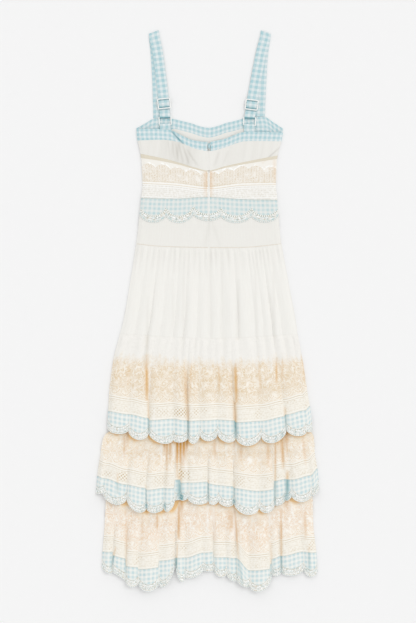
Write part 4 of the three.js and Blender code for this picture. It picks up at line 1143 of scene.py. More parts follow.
# ---- The body: bodice, midriff, waist border and yoke --------------------------------------------
body_left = through(BODY_SIDES, "drop", "left")
body_right = through(BODY_SIDES, "drop", "right")
neckline = through(NECKLINE, "x", "drop")
band_seam = through(BAND_SEAM, "x", "drop")
tape_top = through(TAPE_TOP, "x", "drop")
tape_bottom = through(TAPE_BOTTOM, "x", "drop")
lace_seam = through(LACE_SEAM, "x", "drop")
lace_edging = through(LACE_EDGING, "x", "drop")
waist_seam = through(WAIST_SEAM, "x", "drop")
yoke_seam = through(YOKE_SEAM, "x", "drop")
skirt_seam = through(SKIRT_SEAM, "x", "drop")
front_neckline = through(FRONT_NECKLINE, "x", "drop")


def edging(x):
    """The lower side of the midriff lace's white edging: round arches that meet in points."""
    along = np.where(x < 0, x + EDGING["left"], x - EDGING["right"]) / EDGING["arch"]
    return lace_edging(x) + EDGING["deep"] * (1 - np.abs(np.sin(np.pi * along)) ** 0.7)


def front_band(x):
    """The seam under the front's neck band, which is deeper below the armholes."""
    return front_neckline(x) + BAND + BAND_WIDENS * ease((np.abs(x) - WIDENS_FROM) / WIDENS_OVER)


def waist_edge(x):
    """The scalloped edge of the back's waist border."""
    return scalloped(WAIST_SCALLOPS, x)


def waist_arc(x):
    """The inner arcs of the embroidery along the waist border."""
    return scalloped(WAIST_SCALLOPS, x, WAIST_EMBROIDERY)


def front_waist_edge(x):
    """The same on the front, which stops short of it."""
    return waist_edge(x) - FRONT_SHORTER


def from_sides(x, left, right):
    """How far the back has come up from the side seams, from 0 at a seam to 1."""
    return ease(np.minimum(x - left, right - x) / SIDE_ROLL)


def between(top, bottom, edges, columns, rows):
    """A grid of places between two seams and two edges: x, drop and v, the share of the way down. The edges
    slant and the seams sag, so x and drop are found in turns, three times over."""
    share = np.linspace(0, 1, columns)[None, :]
    v = np.linspace(0, 1, rows)[:, None]
    left, right = edges
    x = mix(left(MIDRIFF), right(MIDRIFF), share) + 0 * v
    for _ in range(3):
        drop = mix(top(x), bottom(x), v)
        x = mix(left(drop), right(drop), share)
    return x, drop, v


def level(x):
    """An edge at the same x all the way down."""
    return lambda drop: x + 0 * np.asarray(drop)


def on_front(x, drop):
    """The height of the back's underside where only the front lies under it."""
    return LAYER + BODY_PUFF * from_sides(x, body_left(drop), body_right(drop))


def front_yoke(drop):
    """How high the front yoke lies on the front's own border, down to the border's tips."""
    return LAYER * (1 - ease((drop - WAIST_SCALLOPS["tip"].max() - 3) / SETTLES))


def on_yoke(x, drop):
    """The same over the hip yoke, which the front's own border raises."""
    return on_front(x, drop) + front_yoke(drop)


def bodice_gathers(x, drop, v):
    """Fine gathers that hang from the band, closer and deeper on the left half, gone at the tape: their
    height, and how much painted shade lies in their hollows.
    """
    lively = (0.45 + 1.1 * np.exp(-(((x + 64) / 34) ** 2))) * ease((np.abs(x) - 8) / 20)
    fine = crumple(x / 7 + 0.02 * drop, drop / 90, 3)
    broad = crumple(x / 17, drop / 60, 5)
    return (0.9 * fine * lively + 0.7 * broad) * (1 - 0.4 * v), (1 - fine) * lively


def beside_zip(x):
    """How plainly the zip's tapes show through the lace, from 0 to 1."""
    rows = zip(*ZIP_TAPES.values())
    return sum(shown * np.exp(-(((x - middle) / wide) ** 2)) for middle, wide, shown in rows)


def waist_marks(x, drop):
    """How far a place in the waist border is outside its embroidered arcs and inside its edge."""
    return {"outside": drop - waist_arc(x), "inside": waist_edge(x) - drop}


def back_neck_band(side, edges):
    """The gingham band along the neckline, whose ends part above the zip."""
    x, drop, _ = between(neckline, band_seam, edges(BAND_GAP), 80, 12)
    z = on_front(x, drop) + CLOTH
    # painted shade along the band's creases
    marks = {"painted_shade_and_tint": 0.9 * traced(CREASES, x, drop)}
    cloth(f"back_neck_band_{side}", "band_gingham", x, drop, z, marks)


def back_bodice(side, edges):
    """The bodice, gathered into the band, whose halves meet over the zip. It has an even painted shade all
    over, and more along its creases and in the hollows of its gathers.
    """
    x, drop, v = between(band_seam, tape_top, edges(SHUT), 90, 22)
    gathers, hollows = bodice_gathers(x, drop, v)
    z = on_front(x, drop) + CLOTH + gathers - 0.8 * traced(CREASES, x, drop)
    marks = {"painted_shade_and_tint": 0.1 + 0.6 * traced(CREASES, x, drop) + 0.3 * hollows}
    cloth(f"back_bodice_{side}", "voile", x, drop, z, marks)


def back_midriff_tape(side, edges):
    """The tape over the bodice's lower seam, a little crowned."""
    x, drop, v = between(tape_top, tape_bottom, edges(COIL_HALF), 60, 5)
    z = on_front(x, drop) + CLOTH + 0.5 * np.sin(np.pi * v)
    cloth(f"back_midriff_tape_{side}", "tape", x, drop, z)


def back_midriff_lace(side, edges):
    """The lace of the midriff, through which the zip's tapes show."""
    x, drop, _ = between(tape_bottom, lace_seam, edges(COIL_HALF), 70, 18)
    z = on_front(x, drop) + CLOTH + 0.3 * crumple(x / 6, drop / 80, 8)
    # the zip's tapes showing through the lace, and painted shade along its creases
    shown = np.maximum(0.5 * beside_zip(x), 0.3 * traced(CREASES, x, drop))
    marks = {"painted_shade_and_tint": shown, "above": lace_seam(x) - drop, "below_edging": drop - edging(x)}
    cloth(f"back_midriff_lace_{side}", "midriff_lace", x, drop, z, marks)


def back_midriff_insertion(side, edges):
    """The insertion under the lace, which climbs to the height of the waist border's top."""
    x, drop, _ = between(lace_seam, waist_seam, edges(COIL_HALF), 70, 13)
    climbed = LAYER * ease((drop - CLIMB["from"]) / CLIMB["over"])
    z = on_front(x, drop) + climbed + CLOTH + 0.3 * crumple(x / 9, drop / 80, 9)
    marks = {"painted_shade_and_tint": 0.3 * beside_zip(x)}
    cloth(f"back_midriff_insertion_{side}", "midriff_insertion", x, drop, z, marks)


def back_hip_yoke(side, edges):
    """The hip yoke, whose halves meet over the zip, with a few soft lines, an even painted shade all over
    and more along the lines.
    """
    x, drop, v = between(waist_seam, yoke_seam, edges(SHUT), 80, 40)
    folded = 0.5 * crumple(x / 40, drop / 45, 11) - 0.4 * traced(CREASES, x, drop)
    z = on_yoke(x, drop) + CLOTH + ease(v * 4) * folded
    marks = {"painted_shade_and_tint": 0.1 + 0.4 * traced(CREASES, x, drop)}
    cloth(f"back_hip_yoke_{side}", "voile", x, drop, z, marks)


def back_waist_border(side, edges):
    """The scalloped border at the waist, which lies on the yoke."""
    x, drop, v = between(waist_seam, waist_edge, edges(COIL_HALF), 90, 18)
    z = on_yoke(x, drop) + LAYER + CLOTH + 0.3 * v * crumple(x / 22, drop / 40, 12)
    marks = waist_marks(x, drop)
    cloth(f"back_waist_border_{side}", "waist_gingham", x, drop, z, marks)


def back_body():
    """The back's pieces above the skirt, in two halves beside the zip."""
    halves = {
        "left": lambda gap: (body_left, level(-gap)),
        "right": lambda gap: (level(gap), body_right),
    }
    for side, edges in halves.items():
        back_neck_band(side, edges)
        back_bodice(side, edges)
        back_midriff_tape(side, edges)
        back_midriff_lace(side, edges)
        back_midriff_insertion(side, edges)
        back_hip_yoke(side, edges)
        back_waist_border(side, edges)


def front_body():
    """The front's pieces, which lie face down on the floor under the back."""
    sides = (body_left, body_right)
    pieces = (
        ("neck_band", "band_gingham", "aqua_gingham", front_neckline, front_band, 8),
        ("bodice", "voile", "white_voile", front_band, tape_top, 14),
        ("midriff_tape", "tape", "beige_tape", tape_top, tape_bottom, 4),
        ("midriff_lace", "midriff_lace", "beige_lace", tape_bottom, lace_seam, 8),
        ("midriff_insertion", "midriff_insertion", "ivory_insertion", lace_seam, waist_seam, 6),
        ("waist_border", "waist_gingham", "aqua_gingham", waist_seam, front_waist_edge, 12),
    )
    for part, finish_name, slot, top, bottom, rows in pieces:
        x, drop, _ = between(top, bottom, sides, 130, rows)
        # painted shade along the neck band's creases, and an even painted shade over the bodice
        marks = {
            "neck_band": {"painted_shade_and_tint": 0.5 * traced(CREASES, x, drop)},
            "bodice": {"painted_shade_and_tint": 0.12},
            "midriff_lace": {"above": bottom(x) - drop, "below_edging": drop - edging(x)},
            "waist_border": waist_marks(x, drop),
        }
        cloth(f"front_{part}", finish_name, x, drop, CLOTH + 0 * x, marks.get(part, {}))
    x, drop, _ = between(waist_seam, yoke_seam, sides, 100, 24)
    cloth("front_hip_yoke", "voile", x, drop, front_yoke(drop) + CLOTH)


# ---- The skirt -----------------------------------------------------------------------------------
def places_in(rows, step):
    """Places along a fold table, as shares of its width: evenly in each row, with its ends kept."""
    ends = rows["x"]
    counts = [max(3, round(wide / step)) for wide in np.diff(ends)]
    runs = [np.linspace(a, b, count, endpoint=False) for a, b, count in zip(ends, ends[1:], counts)]
    return (np.append(np.concatenate(runs), ends[-1]) - ends[0]) / (ends[-1] - ends[0])


def skirt_grid(share, rows):
    """The skirt's places between the yoke and the first tier: x, drop and v, the share of the way down."""
    v = np.linspace(0, 1, rows)[:, None]
    on_yoke_seam = yoke_seam(mix(YOKE_SEAM["x"][0], YOKE_SEAM["x"][-1], share))
    drop = mix(on_yoke_seam, skirt_seam(mix(SKIRT_SEAM["x"][0], SKIRT_SEAM["x"][-1], share)), v)
    return mix(body_left(drop), body_right(drop), share), drop, v


def skirt():
    """The back of the skirt, gathered into the yoke's seam, with folds that swell from there down to the
    first tier, and its plain front under it."""
    share = places_in(SKIRT_FOLDS, FINE_STEP)[None, :]
    x, drop, v = skirt_grid(share, 70)
    place = mix(SKIRT_FOLDS["x"][0], SKIRT_FOLDS["x"][-1], share)
    start, end = ease(v / 0.06), 1 - ease(v / 0.45)
    gathered = GATHER * gather_height(SKIRT_FOLDS, place) * end * start
    fine = crumple(place / 5.5, v * 2, 21)
    long_folds = crumple(place / 13, v * 1.5, 22)
    folded = fold_height(SKIRT_FOLDS, place) * ease(v / 0.8)
    puff = BODY_PUFF * (1 - ease(v / 0.5))
    small = start * (0.9 * fine * (1 - 0.75 * ease(v / 0.5)) + 0.7 * long_folds)
    up = (puff + gathered + folded + small) * from_sides(x, body_left(drop), body_right(drop))
    # painted shade along the creases, and in the hollows of the fine gathers near the yoke
    marks = {"painted_shade_and_tint": 0.35 * traced(CREASES, x, drop) + 0.18 * (1 - fine) * (1 - ease(v / 0.35))}
    z = LAYER + up + CLOTH
    cloth("back_skirt", "voile", x, drop, z, marks)
    x, drop, _ = skirt_grid(np.linspace(0, 1, 90)[None, :], 40)
    cloth("front_skirt", "voile", x, drop, CLOTH + 0 * x, None)


# ---- The tiers -----------------------------------------------------------------------------------
class Tier:
    """The shape of one tier: places across it are shares of its width."""

    def __init__(self, number):
        facts = TIERS[number]
        self.number = number
        self.lace = facts["lace"]
        self.hem = facts["hem"]
        self.top = facts["top"]
        self.above = TIERS.get(number - 1)
        self.left = through(facts["sides"], "drop", "left")
        self.right = through(facts["sides"], "drop", "right")
        self.rest = eased(facts["rest"])
        self.swell = eased(facts["swell"])
        self.lift = eased(facts["lift"])
        self.clear = self.above["hem"]["tip"].max() + 2 if self.above else 0

    def hem_place(self, share):
        """Where a place lies in the hem's table."""
        return mix(self.hem["x"][0], self.hem["x"][-1], share)

    def skirt_place(self, share):
        """Where it lies in the table of the skirt's folds."""
        return mix(SKIRT_FOLDS["x"][0], SKIRT_FOLDS["x"][-1], share)

    def x(self, share, drop):
        """How far across it lies at a drop, between the side edges there."""
        return mix(self.left(drop), self.right(drop), share)

    def seam(self, share):
        """The drop of the border's upper seam, which jumps where one fold laps over another."""
        i, t = row_at(self.hem, self.hem_place(share))
        return mix(self.hem["seam"][i] + self.hem["jump"][i], self.hem["seam"][i + 1], ease(t))

    def edge(self, share):
        """The drop of the border's scalloped edge."""
        return scalloped(self.hem, self.hem_place(share))

    def arc(self, share):
        """The drop of the inner arcs of its embroidery."""
        return scalloped(self.hem, self.hem_place(share), EMBROIDERY)

    def first(self, share):
        """The drop where the tier starts: at the skirt's seam, or hidden under the tier above."""
        return self.top + 0 * share if self.above else skirt_seam(self.skirt_place(share))

    def front_height(self, drop):
        """On the front a lower tier lies on the tier above, down to that one's hem."""
        return LAYER * (1 - ease((drop - self.clear) / SETTLES)) if self.above else 0 * drop

    def back_height(self, share, drop):
        """The height of the back's upper side, with its folds and gathers."""
        place = self.hem_place(share)
        x = self.x(share, drop)
        own_folds = fold_height(self.hem, place) * self.swell(drop)
        fading = 0 if self.above else 1 - ease((drop - SKIRT_SEAM["drop"].min()) / GATHERS_FADE)
        from_skirt = fold_height(SKIRT_FOLDS, self.skirt_place(share)) * fading
        from_top = drop - self.first(share)
        shows = ease((drop - self.shown_from(share)) / 12)
        gathers = gather_height(self.hem, place) * ease(from_top / 8) * (1 - ease(from_top / GATHERS_FADE))
        small = 0.5 * crumple(place / 6, drop / 70, self.number) + 0.5 * crumple(place / 15, drop / 50, 30)
        small = small + 0.5 * traced(RIDGES, x, drop) - 0.8 * traced(CREASES, x, drop)
        risen = self.rest(drop) + own_folds + from_skirt + shows * small
        risen = risen + gathers * (HIDDEN_GATHER if self.above else GATHER)
        sides = from_sides(x, self.left(drop), self.right(drop))
        return self.front_height(drop) + LAYER + self.lift(drop) + risen * sides + CLOTH

    def shown_from(self, share):
        """The drop from which the tier shows, below the hem of the tier above."""
        return Tier(self.number - 1).edge(share) if self.above else self.first(share)

    def marks(self, share, drop):
        """What a tier's cloths hold for their materials: painted shade along creases and, on a lower tier,
        in streaks under the hem above; painted highlights along ridges; where its insertion opens into a
        lattice; how near a place is to the hem above it, which sets the painted light and shade there; and
        how far above the insertion, outside the embroidered arc and inside the edge it is."""
        x = self.x(share, drop)
        below = np.maximum(drop - self.shown_from(share), 0)
        streaks = crumple(self.hem_place(share) / 7, drop / 200, 40 + self.number)
        shaded = traced(SHADES, x, drop, dies_away=True) if self.above else 0
        return {
            "painted_shade_and_tint": np.maximum(0.85 * traced(CREASES, x, drop), shaded),
            "painted_highlight": 0.9 * traced(RIDGES, x, drop),
            "lattice": patches(LATTICES, x, drop),
            "under": np.exp(-below / (6 + 14 * streaks)) if self.above else 0.0,
            "above": self.seam(share) - INSERTION - drop,
            "outside": drop - self.arc(share),
            "inside": self.edge(share) - drop,
        }


def tier_cloth(tier, back):
    """The lace above the insertion, from the seam or from under the tier above."""
    share = places_in(tier.hem, STEP if back else FRONT_STEP)[None, :]
    end = tier.seam(share) - INSERTION
    if tier.above:
        first_shown = np.minimum(tier.shown_from(share) - TUCKED, tier.clear) if back else tier.clear
        hidden = mix(tier.top, first_shown, np.linspace(0, 1, 8, endpoint=False)[:, None]) + 0 * share
        shown = mix(first_shown, end, np.linspace(0, 1, 52 if back else 16)[:, None])
        drop = np.concatenate([hidden, shown])
    else:
        drop = mix(tier.first(share), end, np.linspace(0, 1, 64 if back else 24)[:, None])
    tier_sheet(tier, back, "", tier.lace, share, drop)


def tier_sheet(tier, back, part, finish_name, share, drop):
    """One of a tier's cloths, on its back with its folds or on its front, which lies flat."""
    z = tier.back_height(share, drop) if back else tier.front_height(drop) + CLOTH
    name = f"{'back' if back else 'front'}_tier_{tier.number}{part}"
    marks = tier.marks(share, drop)
    cloth(name, finish_name, tier.x(share, drop), drop, z, marks)


def tier_insertion(tier, back):
    """The ivory insertion between the lace and the border."""
    share = places_in(tier.hem, STEP if back else FRONT_STEP)[None, :]
    v = np.linspace(0, 1, 18 if back else 8)[:, None]
    drop = tier.seam(share) - INSERTION * (1 - v)
    tier_sheet(tier, back, "_insertion", "insertion", share, drop)


def tier_border(tier, back):
    """The scalloped border, with the embroidery outside its inner arcs."""
    share = places_in(tier.hem, FINE_STEP if back else FRONT_FINE_STEP)[None, :]
    v = np.linspace(0, 1, 24 if back else 10)[:, None]
    shorter = 0 if back else FRONT_SHORTER
    drop = mix(tier.seam(share), tier.edge(share) - shorter, v)
    tier_sheet(tier, back, "_border", "tier_gingham", share, drop)


def on_tier(tier, share, drop, lift):
    """A line of points on a tier's upper side or lifted off it, in millimetres in the frame."""
    return in_frame(tier.x(share, drop), drop, tier.back_height(share, drop) + lift)


def tier_stitching(tier):
    """The seam thread and the edge stitch that lie on the back of a tier's border."""
    share = places_in(tier.hem, FINE_STEP)
    seam = [on_tier(tier, share, tier.seam(share) + 0.8, 0.0)]
    edge = [on_tier(tier, share, tier.edge(share) - 0.6, -0.3)]
    tubes(f"tier_{tier.number}_seam_thread", "grey_thread", seam, 0.5)
    tubes(f"tier_{tier.number}_edge_stitch", "white_thread", edge, 0.9)


def tier_eyelets(tier):
    """Worked eyelets along the middle of the embroidery, about 7 mm apart: each a small ring of thread."""
    share = places_in(tier.hem, 7.0)
    share = (share[:-1] + share[1:]) / 2
    drop = mix(np.maximum(tier.arc(share), tier.seam(share) + 2), tier.edge(share), 0.5)
    turn = np.linspace(0, 2 * np.pi, 9)
    ring = 1.7 * np.stack([np.cos(turn), np.sin(turn), 0 * turn], -1)
    rings = [centre + ring for centre in on_tier(tier, share, drop, 0.2)]
    tubes(f"tier_{tier.number}_eyelets", "white_thread", rings, 0.45, sides=4)


def tiers():
    """The three tiers, each with its cloths on the back and the front and what is sewn on its back."""
    for number in TIERS:
        tier = Tier(number)
        for back in (True, False):
            tier_cloth(tier, back)
            tier_insertion(tier, back)
            tier_border(tier, back)
        tier_stitching(tier)
        tier_eyelets(tier)


# ---- Stitching on the body -----------------------------------------------------------------------
def body_stitching():
    """Seam threads and cords on the back of the body, kept clear of the zip."""

    def on_border(x, drop):
        return on_yoke(x, drop) + LAYER

    # each line's finish and slot, the edge that it follows, how far below that it runs, what it lies on,
    # its radius, and how many times its width it is high
    lines = {
        "waist_seam_thread": ("grey_thread", "aqua_gingham", waist_seam, 1.0, on_border, 0.5, 1.0),
        "waist_arc_cord": ("rope_thread", "aqua_gingham", waist_arc, 0.0, on_border, 1.7, 0.4),
        "waist_edge_stitch": ("white_thread", "aqua_gingham", waist_edge, -0.6, on_border, 0.8, 1.0),
        "yoke_seam_thread": ("beige_thread", "white_voile", yoke_seam, 0.0, on_front, 0.8, 1.0),
    }
    for side, sign in (("left", -1), ("right", 1)):
        across = np.sort(sign * np.linspace(ZIP_HALF + 0.6, 172, 90))
        for name, (finish_name, slot, edge, below, height, radius, flat) in lines.items():
            drop = edge(across) + below
            keep = (across > body_left(drop) + 0.5) & (across < body_right(drop) - 0.5)
            x, drop = across[keep], drop[keep]
            line = in_frame(x, drop, height(x, drop) + CLOTH + 0.2)
            tubes(f"{name}_{side}", finish_name, [line], radius, flat=flat)


# ---- The straps and their hardware ---------------------------------------------------------------
def beside(place, along, z):
    """A point at a distance below a slider's or ring's middle, along its own slant, with its height."""
    x, drop, turn = place
    angle = math.radians(turn)
    return (x + along * math.sin(angle), drop + along * math.cos(angle), z, turn)


def rounded(path, times):
    """A path with its corners cut off, a few times over, and its ends kept."""
    for _ in range(times):
        cut = np.stack([mix(path[:-1], path[1:], 0.25), mix(path[:-1], path[1:], 0.75)], 1)
        path = np.concatenate([path[:1], cut.reshape(-1, path.shape[1]), path[-1:]])
    return path


def ribbon(name, node, path, shaded=()):
    """A strap of doubled gingham that follows a path of x, drop, the height of its middle and its slant.
    Where it lies on top it has a thin shade across it at each of the given drops, of the given strength."""
    path = rounded(np.array(path, float), 2)
    along = np.insert(np.cumsum(np.linalg.norm(np.diff(path[:, :3], axis=0), axis=1)), 0, 0)
    steps = np.linspace(0, along[-1], int(along[-1] / STRAP_STEP))
    path = np.stack([np.interp(steps, along, column) for column in path.T], -1)
    middle = in_frame(path[:, 0], path[:, 1], path[:, 2])
    turn = np.radians(path[:, 3])
    across = np.stack([np.cos(turn), np.sin(turn), 0 * turn], -1)
    out = np.cross(np.gradient(middle, axis=0), across)
    out /= np.linalg.norm(out, axis=1, keepdims=True)
    share = np.linspace(-0.5, 0.5, 9)
    crown = 0.5 * CLOTH * (1 - 0.5 * np.abs(2 * share) ** 6)
    sideways = across[:, None] * share[:, None] * STRAP_WIDTH
    points = (middle[:, None] + sideways + out[:, None] * crown[:, None]) / 1000
    over, down = lengths(points, 1), lengths(points, 0)
    places = np.stack(np.broadcast_arrays(over[0], down[:, [len(share) // 2]]), -1)
    made = piece(name, points, grid_faces(*points.shape[:2]), "strap_gingham", uv=places)
    on_top = path[:, 2] > STRAP_ON_TOP
    shade = np.zeros(len(path))
    for drop, strong in shaded:
        faded = np.exp(-(((path[:, 1] - drop) / SHADE_WIDTH) ** 2))
        shade = np.maximum(shade, strong * on_top * faded)
    mark(made, {"painted_shade_and_tint": shade[:, None]}, points.shape[:2])
    thicken(made)
    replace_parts(made, node)


def wire_frame(name, size, place):
    """A slider or ring of enamelled wire, with rounded corners and its bars."""
    x, drop, turn = place
    half_w, half_l = (size["width"] - WIRE) / 2, (size["length"] - WIRE) / 2
    outline = []
    for quarter, (sx, sy) in enumerate(((1, 1), (-1, 1), (-1, -1), (1, -1))):
        bend = np.radians(np.linspace(0, 90, 5) + 90 * quarter)
        corner = np.array([sx * (half_w - FRAME_CORNER), sy * (half_l - FRAME_CORNER)])
        outline += list(corner + FRAME_CORNER * np.stack([np.cos(bend), np.sin(bend)], -1))
    paths = [np.array(outline + outline[:1])]
    if size["bars"] == 3:
        paths.append(np.array([(-half_w, 0), (0, 0), (half_w, 0)], float))
    angle = math.radians(turn)
    turned = []
    for path in paths:
        at_x = path[:, 0] * math.cos(angle) - path[:, 1] * math.sin(angle)
        at_y = path[:, 0] * math.sin(angle) + path[:, 1] * math.cos(angle)
        turned.append(in_frame(x + at_x, drop - at_y, size["lift"] + WIRE_THICK / 2))
    made = tubes(f"{name}_wire", "enamel", turned, WIRE / 2, 12, flat=WIRE_THICK / WIRE)
    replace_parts(made, name)


def strap_path(facts):
    """The way of a strap: up from the front, over the fold at the shoulder, down through the slider, round
    the ring's upper bar and back up under itself."""
    fold, slider, ring = facts["fold"], facts["slider"], facts["ring"]
    low = CLOTH / 2
    high = low + CLOTH + FOLD_AIR
    middle, radius = (high + low) / 2, (high - low) / 2
    path = [(x, drop, low, turn) for x, drop, turn in zip(*facts["under"].values())]
    path.append(beside(fold, 2, low))
    for angle in np.radians((-50, 0, 50)):
        path.append(beside(fold, -radius * math.cos(angle), middle + radius * math.sin(angle)))
    path.append(beside(fold, 2, high))
    path += [(x, drop, high, turn) for x, drop, turn in zip(*facts["over"].values())]
    path += [beside(slider, along, z) for along, z in zip(*ROUND_SLIDER.values())]
    path += [beside(ring, along, z) for along, z in zip(*ROUND_RING.values())]
    return path + [beside(slider, 14, low + LAYER), beside(slider, 1, low + LAYER)]


def tab_path(facts):
    """The way of a tab: up over the neck band, round the ring's lower bar and down again under itself."""
    x, drop, turn = facts["tab_end"]
    over, under = TAB["over"], TAB["under"]
    round_bar = [beside(facts["ring"], along, z) for along, z in zip(*TAB_ROUND_RING.values())]
    upper = [(x, drop, over, turn), (x, TAB["parts"], over, turn)]
    return upper + round_bar + [(x, TAB["parts"], under, turn), (x, drop, under, turn)]


def straps():
    """Both straps with their hardware. A strap is shaded where it comes out from under a bar."""
    for side, facts in STRAPS.items():
        _, slider_drop, _ = facts["slider"]
        _, ring_drop, _ = facts["ring"]
        shaded = [(slider_drop + below, 0.8) for below in (-8.6, 8.4, 14.4)] + [(ring_drop - 8, 1.0)]
        ribbon(f"strap_{side}_webbing", f"strap_{side}", strap_path(facts), shaded)
        wire_frame(f"strap_slider_{side}", SLIDER, facts["slider"])
        wire_frame(f"strap_ring_{side}", RING, facts["ring"])
        ribbon(f"strap_tab_{side}_webbing", f"strap_tab_{side}", tab_path(facts))


# ---- The zip -------------------------------------------------------------------------------------
ON_BAND = LAYER + BODY_PUFF  # the height of the neck band's underside, where the zip's slider lies


def zip_chain():
    """The zip's coil: two rows of nylon loops that mesh down the middle. It comes out of the slider's tail
    and sinks under the bodice within 7 mm, to the height of the chain."""
    half = ZIP_HALF - SEAM
    tail = ZIP_SLIDER["drop"] + ZIP_SLIDER["length"] / 2 - 1
    start, under = (tail, ON_BAND), (tail + 7, CHAIN["z"][0])
    height = through(table("drop z", start, under, *zip(*CHAIN.values())), "drop", "z")
    drops = np.arange(tail, CHAIN["drop"][-1] - 1, COIL_PITCH)
    loop = table("x below", (half, 0), (0.6, 0.1), (-0.5, 0.4))
    loops = []
    for drop in drops:
        z = height(drop) + 0.75
        loops.append(in_frame(-loop["x"], drop + loop["below"], z))
        loops.append(in_frame(loop["x"], drop + COIL_PITCH / 2 + loop["below"], z))
    coil = tubes("zip_coil", "coil", loops, 0.5, sides=5)
    middle = [in_frame(0 * drops, drops, height(drops) + 0.6)]
    core = tubes("zip_core", "coil", middle, half, sides=12, flat=0.3)
    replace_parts(join("zip_chain_coil", [coil, core]), "zip_chain")


def smooth_block(name, outline, low, high, body):
    """An enamelled plate with an outline in x and y, whose top edge draws in a little and is rounded."""
    rings = []
    centre = outline.mean(axis=0)
    for drawn_in, z in ((0, low), (0, high - 0.5), (0.06, high - 0.15), (0.16, high)):
        ring = mix(outline, centre, drawn_in)
        rings.append(np.column_stack([ring, np.full(len(ring), z)]))
    count = len(outline)
    faces = []
    for k in range(len(rings) - 1):
        for i in range(count):
            a, b = k * count + i, k * count + (i + 1) % count
            faces.append((a, b, b + count, a + count))
    faces.append(tuple(reversed(range(count))))
    faces.append(tuple((len(rings) - 1) * count + i for i in range(count)))
    return piece(name, np.concatenate(rings) / 1000, faces, "aqua_enamel", body)


def join(name, parts):
    """Several meshes on one body as one piece."""
    bpy.ops.object.select_all(action="DESELECT")
    for part in parts:
        part.select_set(True)
    bpy.context.view_layer.objects.active = parts[0]
    bpy.ops.object.join()
    parts[0].name = name
    parts[0].select_set(False)
    return parts[0]


def half_circle(radius, x, y, start):
    """Nine points of a half circle, in x and y, that starts at that angle."""
    turn = start + np.linspace(0, np.pi, 9)
    return np.stack([x + radius * np.cos(turn), y + radius * np.sin(turn)], -1)


def slider_middle():
    """The place of the middle of the zip's slider along the frame's y, in millimetres."""
    _, y, _ = in_frame(0, ZIP_SLIDER["drop"], 0)
    return y


def pull_pin():
    """Where the pin of the pull tab lies, above the slider's nose: its y and z in millimetres."""
    y = slider_middle() + ZIP_SLIDER["length"] / 2 - PULL["eye"] - 0.4
    return y, ON_BAND + ZIP_SLIDER["height"] + PULL["eye"] + SEAM


def zip_slider():
    """The slider that runs on the coil, with a bridge over its nose, on which the pull tab hangs."""
    width, length, y = ZIP_SLIDER["width"], ZIP_SLIDER["length"], slider_middle()
    top = ON_BAND + ZIP_SLIDER["height"]
    nose = half_circle(width / 2, CENTRE_BACK, y + length / 2 - width / 2, 0)
    tail = [(CENTRE_BACK + half, y - length / 2) for half in (-0.35 * width, 0.35 * width)]
    body = smooth_block("slider_body", np.concatenate([nose, tail]), ON_BAND, top, "dress")
    pin_y, pin_z = pull_pin()
    lug = (PULL["eye_width"] + 1.8) / 2
    bridge = np.array([(-lug, 0, top - 0.6), (-lug, 0, pin_z), (lug, 0, pin_z), (lug, 0, top - 0.6)])
    bridge = rounded(bridge, 2) + [CENTRE_BACK, pin_y, 0]
    pin = tubes("slider_pin", "aqua_enamel", [bridge], PULL["pin"], sides=10)
    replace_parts(join("zip_slider_body", [body, pin]), "zip_slider")


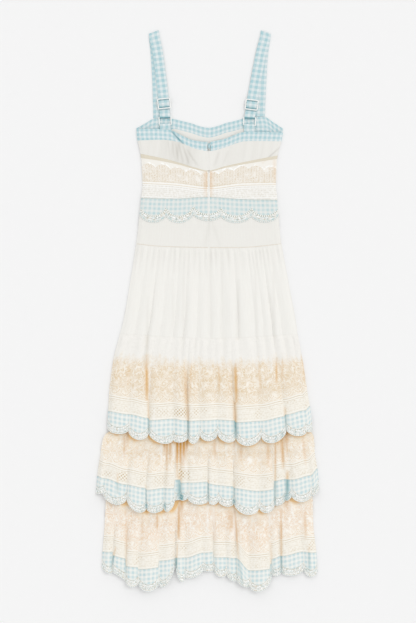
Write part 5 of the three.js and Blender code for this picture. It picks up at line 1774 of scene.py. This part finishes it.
def zip_pull():
    """The pull tab: a plate that narrows to a neck, and the eye that turns on the slider's pin."""
    pin_y, pin_z = pull_pin()
    half, neck = PULL["width"] / 2, PULL["eye_width"] / 2
    tongue = half_circle(half, 0, pin_y + 1 - PULL["length"] + half, np.pi)
    shoulders = np.array([(half, pin_y - 3.6), (neck, pin_y - 2.2), (neck, pin_y - 1.1)])
    outline = np.concatenate([tongue, shoulders, shoulders[::-1] * [-1, 1]]) + [CENTRE_BACK, 0]
    low = pin_z - PULL["thick"] / 2
    plate = smooth_block("pull_plate", outline, low, low + PULL["thick"], "pull_tab")
    bend = np.linspace(0, 2 * np.pi, 17)
    middle, wire = (PULL["eye"] + PULL["hole"]) / 2, (PULL["eye"] - PULL["hole"]) / 2
    ring = np.stack([0 * bend, pin_y + middle * np.cos(bend), pin_z + middle * np.sin(bend)], -1)
    rings = [ring + [CENTRE_BACK + x, 0, 0] for x in np.linspace(-0.7, 0.7, 9)]
    eye = tubes("pull_eye", "aqua_enamel", rings, wire, 8, "pull_tab")
    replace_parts(join("zip_pull_tab", [plate, eye]), "zip_pull")


# ---- Floor, light and camera ---------------------------------------------------------------------
def floor():
    """A wide sheet of pale studio paper, just under the dress."""
    bpy.ops.mesh.primitive_plane_add(size=14, location=(0, 0, -0.0003))
    paper = bpy.context.object
    paper.name = "floor"
    paper.data.materials.append(studio_paper("studio_paper"))


def studio_light():
    """A bright even room and one large soft light from the upper right."""
    world = bpy.data.worlds.new("studio")
    bpy.context.scene.world = world
    world.use_nodes = True
    room = world.node_tree.nodes["Background"].inputs
    room["Color"].default_value = (1, 1, 1, 1)
    room["Strength"].default_value = 0.88
    lamp = bpy.data.objects.new("soft_box", bpy.data.lights.new("soft_box", "SUN"))
    lamp.data.energy = 0.46
    lamp.data.angle = math.radians(30)
    lamp.rotation_mode = "QUATERNION"
    lamp.rotation_quaternion = Vector((0.62, 0.45, 1.0)).to_track_quat("Z", "Y")
    bpy.context.collection.objects.link(lamp)


def camera():
    """Straight above the dress, square to the floor, with a little air round it."""
    height = 4.0
    seen = 1.4952  # metres from the top of the view to its foot, a little above the floor
    above_floor = 0.01
    aside, up = 0.00104, -0.0024  # the middle of the view, across and along the dress
    lens = bpy.data.cameras.new("camera")
    lens.sensor_width = 36
    lens.lens = lens.sensor_width * (height - above_floor) / seen
    lens.clip_start, lens.clip_end = 0.1, 50
    eye = bpy.data.objects.new("camera", lens)
    eye.location = (aside, up, height)
    bpy.context.collection.objects.link(eye)
    bpy.context.scene.camera = eye
    bpy.context.scene.view_settings.view_transform = "Standard"


floor()
studio_light()
camera()
back_body()
front_body()
skirt()
tiers()
body_stitching()
straps()
zip_chain()
zip_slider()
zip_pull()
